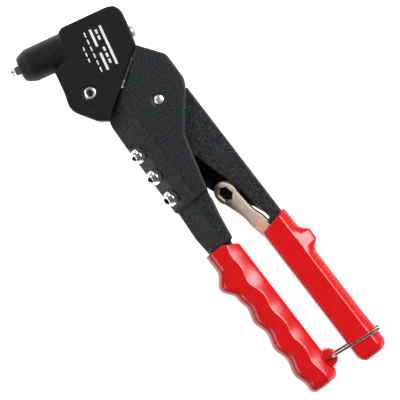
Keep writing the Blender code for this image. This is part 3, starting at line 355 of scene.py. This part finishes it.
def softened(node, cell, rounds, name):
    """Copy of a solid's mesh with even cells, smoothed by so many rounds."""
    source = frame["nodes"][node]
    work = bmesh.new()
    work.from_mesh(source.data)
    bmesh.ops.remove_doubles(work, verts=work.verts, dist=1e-6)
    data = bpy.data.meshes.new(name)
    work.to_mesh(data)
    work.free()
    piece = bpy.data.objects.new(name, data)
    bpy.context.scene.collection.objects.link(piece)
    cells = piece.modifiers.new("cells", "REMESH")
    cells.mode = "VOXEL"
    cells.voxel_size = cell
    cells.adaptivity = 0.0
    graph = bpy.context.evaluated_depsgraph_get()
    even = bpy.data.meshes.new_from_object(piece.evaluated_get(graph))
    piece.modifiers.clear()
    piece.data = even
    points = np.empty(len(even.vertices) * 3)
    even.vertices.foreach_get("co", points)
    points = points.reshape(-1, 3)
    edges = np.empty(len(even.edges) * 2, np.int64)
    even.edges.foreach_get("vertices", edges)
    start, end = edges.reshape(-1, 2).T
    count = np.bincount(start, minlength=len(points)) + np.bincount(end, minlength=len(points))
    from_joint = np.abs((points - swivel_point) @ swivel_axis)
    freedom = np.clip((from_joint - JOINT_HOLD / 2) / JOINT_HOLD, LEAST_FREEDOM, 1.0)[:, None]
    for _ in range(rounds):
        total = np.stack([np.bincount(start, points[end, k], len(points)) +
                          np.bincount(end, points[start, k], len(points)) for k in range(3)], -1)
        points = points + SMOOTH_STEP * freedom * (total / count[:, None] - points)
    even.vertices.foreach_set("co", points.ravel())
    even.update()
    even.shade_smooth()
    return piece


for rides_on, cell, rounds, finish in (("head", 0.5, 10, head_coat_painted_shade), ("body", 0.55, 8, coat),
                                       ("lever", 0.55, 8, coat)):
    shell = softened(f"{rides_on}_casting", cell * MM, rounds, f"{rides_on}_shell")
    fit(shell, rides_on, "black_paint", finish, f"{rides_on}_casting")

# %% [markdown]
# ## Grips
# Each grip is a skin of dipped plastic over a handle. Its section has two flat faces, two slanting facets at
# one side, and a rounder edge at the other. The section is drawn as a few corner points, then its corners are
# cut over and over (Chaikin's rule), which turns the polygon into a smooth curve that still shows its flats.
# Along the handle the section follows the finger waves and the guard. The handle goes into a pocket at the
# grip's open end.

# %% Grip surface
HALF_THICK = 11.6 * MM     # of the flat faces from the middle plane
FACET_HALF = 5.5 * MM      # of the facets' outer edges
END_ROUND = 6.0 * MM
LEAN_FADE = 14.0 * MM      # the open end's slant fades out over this length


def chaikin(ring, passes):
    """Cut every corner at a quarter and three quarters of each side. ring[..., point, axis] is closed."""
    for _ in range(passes):
        ahead = np.roll(ring, -1, axis=-2)
        ring = np.stack([0.75 * ring + 0.25 * ahead, 0.25 * ring + 0.75 * ahead], -2)
        ring = ring.reshape(*ring.shape[:-3], -1, ring.shape[-1])
    return ring


def hump(x, centre, width, height):
    """Raised cosine, level beyond half its width."""
    offset = np.clip(np.abs(x - centre) / width, 0.0, 0.5)
    return height * 0.5 * (1 + np.cos(2 * np.pi * offset))


def grip_sections(x, edge, crease, facet, shrink, soft, facet_half):
    """Section at every station, as one closed ring [station, point, (y, z)].

    edge, crease and facet are the y of the round edge, of the crease where a facet starts and of the facets'
    outer side. shrink draws the section in near the closed end, and soft spreads the round edge.
    """
    toward = np.sign(facet - edge)
    half = HALF_THICK - shrink
    edge, facet = edge + toward * shrink, facet - toward * shrink
    corners = [(edge + toward * soft * run * MM, half * share)
               for run, share in ((-0.3, 0.0), (0.4, 0.46), (2.4, 0.86), (6.2, 1.01), (9.5, 1.0))]
    corners += [(crease - toward * 0.7 * MM, half), (crease + toward * 0.3 * MM, half * 0.995),
                (facet - toward * 0.8 * MM, facet_half * 1.12 - shrink / 2),
                (facet, facet_half * 0.75 - shrink / 2)]
    upper = np.stack([np.stack([y + 0 * x, z + 0 * x], -1) for y, z in corners], 1)
    lower = upper[:, :0:-1] * np.array([1.0, -1.0])
    return chaikin(np.concatenate([upper, lower], 1), 3)


def grip_surface(name, start, end, slant, edge, crease, facet, tang, soft, facet_half):
    """Rows run from the bottom of the tang's pocket, out over the lip, and along the skin to the closed end.

    slant(y) leans the open end, and tang is the pocket's two sides in y and its half height.
    """
    straight = np.arange(start, end - END_ROUND, 0.6 * MM)
    bend = np.radians(np.linspace(0, 90, 16))[1:-1]
    x = np.concatenate([straight, end - END_ROUND + END_ROUND * np.sin(bend)])
    shrink = np.concatenate([0 * straight, END_ROUND * (1 - np.cos(bend))]) * 0.85
    skin = grip_sections(x, edge(x), crease(x), facet(x), shrink, soft, facet_half)
    grid = np.concatenate([np.repeat(x[:, None, None], skin.shape[1], 1), skin], -1)
    first = grid[0, :, 1:]
    middle = np.array([(tang[0] + tang[1]) / 2, 0.0])
    half = np.array([(tang[1] - tang[0]) / 2, tang[2]])
    ray = first - middle
    to_pocket = 1 / np.max(np.abs(ray) / half, axis=1, keepdims=True)
    pocket = middle + ray * np.minimum(to_pocket, 0.9)
    rows = []
    for depth, share in ((5.8, 1.0), (0.9, 1.0), (-0.15, 0.72), (0.0, 0.35), (0.35, 0.1)):
        ring = first * (1 - share) + pocket * share
        rows.append(np.concatenate([np.full((len(ring), 1), start + depth * MM), ring], -1))
    grid = np.concatenate([np.stack(rows), grid[1:]])
    lean = slant(grid[..., 1]) * np.clip(1 - (grid[..., 0] - start) / LEAN_FADE, 0.0, 1.0)
    grid[..., 0] += lean
    grid[..., 2] += MIDDLE
    return mesh_from_grid(name, grid)


# %% [markdown]
# ### Fixed grip
# The fixed grip has a guard near its open end and four finger waves after it. The crease of its facets
# follows the waves a little weaker. A round lug for the latch stands at its inner side.

# %% Fixed grip, with its latch lug
low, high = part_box("fixed_grip")
WAVE_PITCH, WAVE_HEIGHT = 21 * MM, 1.1 * MM
GUARD_WIDTH, GUARD_HEIGHT = 22 * MM, 5.6 * MM
OUTER_Y, CREASE_Y, INNER_Y = -37.7 * MM, -23.4 * MM, -15.0 * MM
SLANT_Y, FIXED_SLANT = -24.5 * MM, 0.62
FIXED_TANG = (-34.6 * MM, -16.4 * MM, 9.6 * MM)
guard_x = low.x + 21.5 * MM
wave_x = low.x + 51 * MM


def finger_wave(x):
    return WAVE_HEIGHT * np.cos(2 * np.pi * (x - wave_x) / WAVE_PITCH)


def fixed_edge(x):
    settle = np.clip((x - guard_x - 8 * MM) / (12 * MM), 0.0, 1.0)
    return OUTER_Y - hump(x, guard_x, GUARD_WIDTH, GUARD_HEIGHT) - finger_wave(x) * settle


def fixed_crease(x):
    return CREASE_Y - 0.75 * finger_wave(x) - hump(x, guard_x + 3 * MM, 26 * MM, 2.0 * MM)


def fixed_slant(y):
    return np.clip((y - SLANT_Y) * FIXED_SLANT, 0.0, None)


fixed_grip = grip_surface("fixed_grip_skin", low.x - 1.0 * MM, high.x, fixed_slant, fixed_edge, fixed_crease,
                          lambda x: INNER_Y + 0 * x, FIXED_TANG, 0.8, FACET_HALF)
fit(fixed_grip, "body", "red_plastic", pvc, "fixed_grip")
LUG_RADIUS, LUG_HALF, LUG_EDGE = 6.0 * MM, 8.0 * MM, 1.6 * MM
lug_centre = np.array([latch_pivot[0] - 0.3 * MM, latch_pivot[1] - 2.1 * MM, MIDDLE])
lug_turn = np.linspace(0, 2 * np.pi, 72, endpoint=False)
quarter = np.linspace(0, np.pi / 2, 6)
lug_r = np.concatenate([[0.4 * LUG_RADIUS], LUG_RADIUS - LUG_EDGE * (1 - np.sin(quarter)),
                        LUG_RADIUS - LUG_EDGE * (1 - np.cos(quarter)), [0.4 * LUG_RADIUS]])
lug_z = np.concatenate([[LUG_HALF], LUG_HALF - LUG_EDGE * (1 - np.cos(quarter)),
                        -LUG_HALF + LUG_EDGE * (1 - np.sin(quarter)), [-LUG_HALF]])
lug_grid = np.stack([lug_r[:, None] * np.cos(lug_turn), lug_r[:, None] * np.sin(lug_turn),
                     lug_z[:, None] + 0 * lug_turn], -1) + lug_centre
fit(mesh_from_grid("latch_lug", lug_grid), "body", "red_plastic", pvc)

# %% [markdown]
# ### Lever grip
# The lever's grip is straight, with a bump for the thumb at its outer side and a faint swell near each end.

# %% Lever grip
low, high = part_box("lever_grip")
LEVER_INNER_Y, LEVER_CREASE_Y, LEVER_OUTER_Y = 0.2 * MM, 15.5 * MM, 21.1 * MM
LEVER_TANG = (10.9 * MM, 19.4 * MM, 8.15 * MM)
LEVER_SLANT_Y, LEVER_SLANT = 10 * MM, 0.22
THUMB_WIDTH, THUMB_HEIGHT, THUMB_FLAT = 21 * MM, 7.2 * MM, 5.3 * MM
SWELL_WIDTH, SWELL_HEIGHT = 40 * MM, 0.5 * MM
thumb_x = low.x + 20.3 * MM


def lever_facet(x):
    swell = (hump(x, low.x + 8 * MM, SWELL_WIDTH, SWELL_HEIGHT)
             + hump(x, high.x - 10 * MM, SWELL_WIDTH, SWELL_HEIGHT))
    return LEVER_OUTER_Y + swell + np.minimum(hump(x, thumb_x, THUMB_WIDTH, THUMB_HEIGHT), THUMB_FLAT)


lever_grip = grip_surface("lever_grip_skin", low.x - 1.4 * MM, high.x,
                          lambda y: (LEVER_SLANT_Y - y) * LEVER_SLANT, lambda x: LEVER_INNER_Y + 0 * x,
                          lambda x: LEVER_CREASE_Y + 0 * x, lever_facet, LEVER_TANG, 0.3, 1.2 * FACET_HALF)
fit(lever_grip, "lever", "red_plastic", pvc, "lever_grip")

# %% [markdown]
# ## Nosepieces
# A nosepiece is turned from hexagon bar. The hexagon's corners end where a cone has been turned on it, so the
# surface is the smaller of two radii at every place: the hexagon's, which depends only on the angle, and the
# turned profile's, which depends only on the height.

# %% Nosepiece surface
HEX_FLATS = 9.5 * MM
TIP_RADIUS, TIP_HEIGHT = 2.9 * MM, 6.3 * MM
BARREL_END = 32.1 * MM
FITTED_BORE, SPARE_BORES = 1.25, (1.7, 2.05, 2.45)         # radii in millimetres
SEAT_SLOPE = math.radians(54)


def nosepiece(name, frame_matrix, bore, node, body, twist=0.0):
    """Hexagon nosepiece whose local z runs out of its seat. The bore goes through it."""
    turn = np.linspace(0, 2 * np.pi, 96, endpoint=False)
    flat = HEX_FLATS / 2 / np.cos((turn + twist + np.pi / 6) % (np.pi / 3) - np.pi / 6)
    screw = 3.9 * MM
    profile = np.array([(bore, -4.7), (bore, 5.9), (bore + 0.35 * MM, 6.3), (2.3 * MM, 6.3),
                        (2.75 * MM, 6.15), (3.05 * MM, 5.8), (3.9 * MM, 4.3), (4.4 * MM, 3.7),
                        (5.6 * MM, 3.0), (6.0 * MM, 2.6), (6.0 * MM, 0.9), (5.6 * MM, 0.6),
                        (5.2 * MM, 0.35), (screw, 0.35), (screw, -4.4), (screw - 0.3 * MM, -4.7)])
    along = np.linspace(0, len(profile) - 1, 90)
    height = np.interp(along, np.arange(len(profile)), profile[:, 1]) * MM
    radius = np.interp(along, np.arange(len(profile)), profile[:, 0])
    skin = np.minimum(radius[:, None], np.where(radius[:, None] > screw + 0.6 * MM, flat, 1.0))
    grid = np.stack([skin * np.cos(turn), skin * np.sin(turn), height[:, None] + 0 * turn], -1)
    piece = mesh_from_grid(name, placed(grid, frame_matrix), "ring")
    piece.data.set_sharp_from_angle(angle=math.radians(32))
    return fit(piece, body, "chrome", chrome, node)


nose_origin = np.array([-62.4 * MM, -27.5 * MM, MIDDLE])
nosepiece("fitted_nosepiece_turned", frame_on(nose_origin + nose_axis * BARREL_END, nose_axis),
          FITTED_BORE * MM, "fitted_nosepiece", "head", math.radians(30))
seat_axis = np.array([0.0, -math.sin(SEAT_SLOPE), math.cos(SEAT_SLOPE)])
for index, bore in enumerate(SPARE_BORES):
    node = f"spare_nosepiece_{index + 1}"
    low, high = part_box(node)
    tip = np.array([(low.x + high.x) / 2, low.y + TIP_RADIUS * math.cos(SEAT_SLOPE),
                    high.z - TIP_RADIUS * math.sin(SEAT_SLOPE)])
    nosepiece(node + "_turned", frame_on(tip - seat_axis * TIP_HEIGHT, seat_axis), bore * MM, node, "body")

# %% [markdown]
# ## Pins and plug
# Turned pieces are a profile of radius and height swept round an axis. The head's pin is a tube with rolled
# rims and a dark core in its bore as painted shade, the lever's pin has low riveted domes, the latch wire
# turns in a dark ring that is painted shade for its hole, and the spring's plug has a stepped head.

# %% Turned pieces
def turned(name, profile, matrix, ends="poles", sides=64):
    """Radius and height in millimetres, swept round local z."""
    radius, height = (np.array(profile) * MM).T
    turn = np.linspace(0, 2 * np.pi, sides, endpoint=False)
    grid = np.stack([radius[:, None] * np.cos(turn), radius[:, None] * np.sin(turn),
                     height[:, None] + 0 * turn], -1)
    piece = mesh_from_grid(name, placed(grid, matrix), ends)
    piece.data.set_sharp_from_angle(angle=math.radians(40))
    return piece


def upright(point):
    matrix = np.eye(4)
    matrix[:3, 3] = point
    return matrix


rim = [(2.25 + 0.875 * (1 - math.cos(a)), 11.55 + 0.85 * math.sin(a)) for a in np.linspace(0, math.pi, 9)]
under = [(r, -z) for r, z in reversed(rim)]
fit(turned("rocker_pin_rolled", rim + under, upright(rocker_pivot), "ring"), "head", "bright_steel", peened,
    "rocker_pin")

# A dark core fills the pin's bore: painted shade for the dark inside of the hollow pin.
bore_shade_core = [(0.05, 9.0), (1.7, 9.0), (2.2, 8.6), (2.2, -8.6), (1.7, -9.0), (0.05, -9.0)]
fit(turned("rocker_pin_core", bore_shade_core, upright(rocker_pivot)), "head", "dark_steel", hardened)

dome = [(3.3 * math.sin(a), 12.7 + 1.25 * math.cos(a)) for a in np.linspace(0.05, math.pi / 2, 9)]
under = [(r, -z) for r, z in reversed(dome)]
fit(turned("lever_pin_domed", dome + under, upright(lever_pivot)), "body", "bright_steel", peened,
    "lever_pin")

# A dark ring round the latch wire: painted shade for the wire's hole in the lug.
hole_shade_ring = [(1.15, 7.7), (1.15, 8.1), (1.45, 8.25), (1.8, 8.1), (1.85, 7.7)]
fit(turned("latch_eyelet", hole_shade_ring, upright(latch_pivot), "ring"), "body", "dark_steel", hardened)

PLUG_OFFSET = 7.2 * MM     # of the plug's axis from the nose's
across = np.array([-nose_axis[1], nose_axis[0], 0.0])
plug_matrix = frame_on(nose_origin + across * PLUG_OFFSET, nose_axis)
plug_profile = [(3.55, -37.3), (3.55, -42.5), (4.5, -42.55), (4.5, -43.5), (4.3, -43.75), (3.7, -43.8),
                (3.65, -44.6), (3.4, -44.8), (1.6, -44.8), (1.5, -44.3), (0.05, -44.3)]
fit(turned("spring_plug_turned", plug_profile, plug_matrix), "head", "bright_steel", peened, "spring_plug")

# %% [markdown]
# ## Wrench
# The wrench is stamped from flat steel. Its outline is a ring that narrows to a neck and widens to the shank,
# and the hexagon is punched through the ring. Every point of the outline sees the hexagon's centre, so one
# grid covers it all: columns go round, rows go from the hexagon's edge over the face, round the outer edge
# and back along the other face.

# %% Wrench surface
WRENCH_TURN, WRENCH_LEAN = math.radians(11.5), math.radians(40)
HALF_PLATE, RING, HEX_HOLE = 1.5, 8.5, 9.7                 # millimetres, RING is the outer radius
wrench_centre = np.array([73.3 * MM, -2.2 * MM, MIDDLE])
wrench_matrix = np.array(Matrix.Translation(wrench_centre) @ Matrix.Rotation(WRENCH_TURN, 4, "Z")
                         @ Matrix.Rotation(WRENCH_LEAN, 4, "X"))


def smooth_outline():
    """Corner points of the stamped blank, cut by Chaikin's rule and then spread evenly along the outline."""
    start = math.asin(0.82)
    arc = np.linspace(start, 2 * np.pi - start, 40)
    ring = np.stack([RING * np.cos(arc), RING * np.sin(arc)], -1)
    side = np.array([(13.0, -5.6), (19.0, -4.9), (22.5, -5.4), (25.0, -6.2), (30.0, -6.2), (70.0, -6.2),
                     (72.0, -4.2)])
    outline = chaikin(np.concatenate([ring, side, side[::-1] * np.array([1.0, -1.0])]), 2)
    step = np.linalg.norm(np.roll(outline, -1, 0) - outline, axis=1)
    along = np.concatenate([[0.0], np.cumsum(step)])
    even = np.linspace(0, along[-1], 360, endpoint=False)
    closed = np.vstack([outline, outline[:1]])
    return np.stack([np.interp(even, along, closed[:, k]) for k in range(2)], -1)


outline = smooth_outline()
tangent = np.roll(outline, -1, 0) - np.roll(outline, 1, 0)
normal = np.stack([tangent[:, 1], -tangent[:, 0]], -1) / np.linalg.norm(tangent, axis=1, keepdims=True)
angle = np.arctan2(outline[:, 1], outline[:, 0])
hole_radius = HEX_HOLE / 2 / np.cos(angle % (np.pi / 3) - np.pi / 6)
hole = hole_radius[:, None] * np.stack([np.cos(angle), np.sin(angle)], -1)
rows = []
for z_side in (1, -1):
    face = [(hole, 0.35), (hole * 1.05, 0.0), (hole * 1.12, 0.0)]
    face += [(outline - normal * inset, drop)
             for inset, drop in ((1.1, 0.0), (0.7, 0.06), (0.3, 0.3), (0.08, 0.65), (0.0, 1.1))]
    for ring, drop in face[::z_side]:
        rows.append(np.concatenate([ring, np.full((len(ring), 1), z_side * (HALF_PLATE - drop))], -1))
wrench_grid = placed(np.stack(rows) * MM, wrench_matrix)
wrench = mesh_from_grid("nosepiece_wrench_stamped", wrench_grid, "ring")
wrench.data.set_sharp_from_angle(angle=math.radians(40))
fit(wrench, "lever", "nickel_steel", nickel, "nosepiece_wrench")

# %% [markdown]
# ## Wire latch
# The bail is one length of spring wire with square bends. The centre line is a list of corners, each replaced
# by a short curve, and a circle is carried along it.

# %% Latch wire
def bent_line(points, radius, steps=8):
    """Centre line with each corner replaced by a parabola that starts and ends one bend radius away."""
    line = [points[:1]]
    share = np.linspace(0, 1, steps)[:, None]
    for before, here, after in zip(points, points[1:], points[2:]):
        start = here + (before - here) / np.linalg.norm(before - here) * radius
        end = here + (after - here) / np.linalg.norm(after - here) * radius
        line.append(start * (1 - share) ** 2 + here * 2 * share * (1 - share) + end * share ** 2)
    return np.concatenate(line + [points[-1:]])


def wire_surface(name, line, radius, sides=20):
    """A circle carried along the line. Its frame turns as little as it can from one point to the next."""
    forward = np.gradient(line, axis=0)
    forward /= np.linalg.norm(forward, axis=1, keepdims=True)
    side = np.zeros_like(line)
    side[0] = np.cross(forward[0], [1.0, 0.2, 0.0])
    for index in range(1, len(line)):
        side[index] = side[index - 1] - forward[index] * (side[index - 1] @ forward[index])
        side[index] /= np.linalg.norm(side[index])
    side[0] /= np.linalg.norm(side[0])
    other = np.cross(forward, side)
    turn = np.linspace(0, 2 * np.pi, sides, endpoint=False)
    circle = side[:, None] * np.cos(turn)[:, None] + other[:, None] * np.sin(turn)[:, None]
    return mesh_from_grid(name, line[:, None] + radius * circle)


low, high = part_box("wire_latch")
WIRE, BEND, HOOK = 0.95 * MM, 3 * MM, 3 * MM                # HOOK is where the ends stand in the lug
REACH, REACH_ANGLE = 37.2 * MM, math.radians(84)
leg = (high.z - low.z) / 2 - WIRE
bar = latch_pivot + REACH * np.array([math.cos(REACH_ANGLE), math.sin(REACH_ANGLE), 0.0])
up = np.array([0.0, 0.0, 1.0])
corners = np.array([latch_pivot + up * HOOK, latch_pivot + up * leg, bar + up * leg,
                    bar - up * leg, latch_pivot - up * leg, latch_pivot - up * HOOK])
latch = wire_surface("wire_latch_bent", bent_line(corners, BEND), WIRE)
fit(latch, "latch", "bright_steel", zinc, "wire_latch")

# %% [markdown]
# ## Printed panel
# The head carries a small white print. Here it is a plain block of bars with no lettering: a long bar and two
# shorter ones with ticks between them, a row of dashes and a row of dots. Each is a thin layer of ink that
# stands a few hundredths of a millimetre proud of the casting's upper face.

# %% Print bars
INK_LIFT = 0.05 * MM
CORNER_POWER = 0.2         # of the superellipse, nearly a rectangle
ink_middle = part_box("head_casting")[1].z + INK_LIFT * 0.3


def ink_bar(name, centre, length, width, along):
    """A flat bar with round corners: rows shrink towards its middle, columns run round its outline."""
    sideways = np.array([-along[1], along[0], 0.0])
    turn = np.linspace(0, 2 * np.pi, 48, endpoint=False)
    circle = np.stack([np.cos(turn), np.sin(turn)], -1)
    corner = np.sign(circle) * np.abs(circle) ** CORNER_POWER
    flat = corner[:, :1] * along * length / 2 + corner[:, 1:] * sideways * width / 2
    shares = np.array([0.5, 0.97, 1.0, 1.0, 0.5])[:, None, None]
    heights = np.array([1.0, 1.0, 0.6, -1.0, -1.0])[:, None, None]
    return mesh_from_grid(name, centre + shares * flat + heights * np.array([0.0, 0.0, INK_LIFT]))


# Name, place along the nose, start and end across it, and width, in millimetres.
bars = [("print_bar_rear", -25.9, -3.8, 23.3, 1.65), ("print_bar_front", -19.1, -3.9, 8.0, 1.65),
        ("print_bar_front_end", -19.1, 12.2, 24.2, 1.65)]
bars += [(f"print_tick_{index}", -22.5, start, start + 2.9, 1.5)
         for index, start in enumerate((-2.4, 1.8, 9.6, 13.8, 18.0))]
bars += [(f"print_dash_{index}", -15.0, start, start + 3.3, 0.9)
         for index, start in enumerate((-3.6, 1.2, 6.0, 10.8, 15.6, 20.4))]
bars += [(f"print_dot_{index}", -10.6, start, start + 2.6, 0.9)
         for index, start in enumerate((4.4, 8.4, 12.4))]
for name, along_nose, start, end, width in bars:
    centre = nose_origin + nose_axis * along_nose * MM + across * (start + end) / 2 * MM
    centre[2] = ink_middle
    fit(ink_bar(name, centre, (end - start) * MM, width * MM, across), "head", "black_paint", ink)

# %% [markdown]
# ## Pieces kept from the solid model
# The mechanism inside, the rocker, the rod, the detent and the swivel's stud and nut have the right shapes
# already. They only take their real finishes.

# %% Finishes for the kept pieces
kept = {zinc: ["detent_plate", "swivel_stud", "swivel_nut", "rod_nut", "tail_collar", "detent_ball_upper",
               "detent_ball_lower"],
        hardened: ["pull_rod", "rocker", "jaw_case", "tail_tube", "jaw_upper", "jaw_lower", "jaw_pusher",
                   "jaw_spring", "return_spring", "detent_spring_upper", "detent_spring_lower"]}
for finish, names in kept.items():
    for name in names:
        for place in frame["nodes"][name].material_slots:
            place.material = finish
print("kept pieces:", sum(len(names) for names in kept.values()))

# %% [markdown]
# ## Floor, light and camera
# The tool lies on white paper that glows a little, so that it stays white under soft light. A large lamp
# stands at the upper right of the view, which is the side that the grips' facets face. Two weaker ones stand
# at the left, the lower one for the wrench, whose face leans that way. A long lens looks straight down.

# %% Floor
FLOOR_HALF, FLOOR_HEIGHT = 3.0, -0.6 * MM
floor_data = bpy.data.meshes.new("paper_floor")
floor_corners = [(x * FLOOR_HALF, y * FLOOR_HALF, FLOOR_HEIGHT)
                 for x, y in ((-1, -1), (1, -1), (1, 1), (-1, 1))]
floor_data.from_pydata(floor_corners, [], [(0, 1, 2, 3)])
floor = bpy.data.objects.new("paper_floor", floor_data)
bpy.context.scene.collection.objects.link(floor)
paper, tree, shader, place = new_finish("white_studio_paper")
fibre = add_node(tree, "ShaderNodeTexNoise", Vector=place, Scale=grains(2.0), Detail=3.0)
tone = add_node(tree, "ShaderNodeValToRGB", Fac=fibre.outputs["Fac"])
tone.color_ramp.elements[0].color = linear("#f7f7f7")
tone.color_ramp.elements[1].color = linear("#ffffff")
tree.links.new(tone.outputs["Color"], shader.inputs["Base Color"])
shader.inputs["Roughness"].default_value = 0.9
shader.inputs["Emission Color"].default_value = linear("#ffffff")
shader.inputs["Emission Strength"].default_value = 0.95
floor_data.materials.append(paper)
floor.visible_diffuse = False
print("floor at", round(FLOOR_HEIGHT / MM, 2), "mm")

# %% Camera
VIEW_WIDTH, LENS, SENSOR = 254 * MM, 240.0, 36.0
view_centre = Vector((66.6, -18.2, 0.0)) * MM + Vector((0, 0, 2 * MIDDLE))
camera_data = bpy.data.cameras.new("camera")
camera_data.lens, camera_data.sensor_width = LENS, SENSOR
camera_data.clip_start, camera_data.clip_end = 0.05, 20.0
camera = bpy.data.objects.new("camera", camera_data)
bpy.context.scene.collection.objects.link(camera)
bpy.context.scene.camera = camera
view_right, view_up = Vector((0.609, 0.7935, 0.0)), Vector((-0.7935, 0.609, 0.0))
view_turn = Matrix((view_right, view_up, Vector((0, 0, 1)))).transposed()
camera.matrix_world = (Matrix.Translation(view_centre + Vector((0, 0, VIEW_WIDTH * LENS / SENSOR)))
                       @ view_turn.to_4x4())
print("camera", round(camera.matrix_world.translation.z, 2), "m above the floor")


# %% Lights
def lamp(name, right, up, height, size, watts):
    """Square soft lamp at a place given in the view's directions, turned to face the tool's middle."""
    data = bpy.data.lights.new(name, "AREA")
    data.shape, data.size, data.energy = "SQUARE", size, watts
    made = bpy.data.objects.new(name, data)
    bpy.context.scene.collection.objects.link(made)
    made.location = view_centre + view_right * right + view_up * up + Vector((0, 0, height))
    made.rotation_euler = (view_centre - made.location).to_track_quat("-Z", "Y").to_euler()
    return made


lamp("key_softbox", 0.85, 0.62, 0.85, 0.7, 22.0)
lamp("left_softbox", -1.0, 0.55, 0.8, 0.6, 5.5)
lamp("fill_softbox", -0.71, -0.55, 0.7, 0.5, 3.4)
world = bpy.data.worlds.new("studio")
world.use_nodes = True
sky = world.node_tree
towards = add_node(sky, "ShaderNodeTexCoord").outputs["Generated"]
height = add_node(sky, "ShaderNodeSeparateXYZ", i0=towards)
fade = add_node(sky, "ShaderNodeValToRGB", Fac=height.outputs["Z"])
fade.color_ramp.elements[0].position = 0.0
fade.color_ramp.elements[0].color = linear("#7c7c7c")
fade.color_ramp.elements[1].position = 0.62
fade.color_ramp.elements[1].color = linear("#444446")
bright = fade.color_ramp.elements.new(0.12)
bright.color = linear("#8c8c8c")
sky.links.new(fade.outputs["Color"], sky.nodes["Background"].inputs["Color"])
bpy.context.scene.world = world
bpy.context.scene.view_settings.view_transform = "Standard"
print("lamps:", [light.name for light in bpy.data.lights])

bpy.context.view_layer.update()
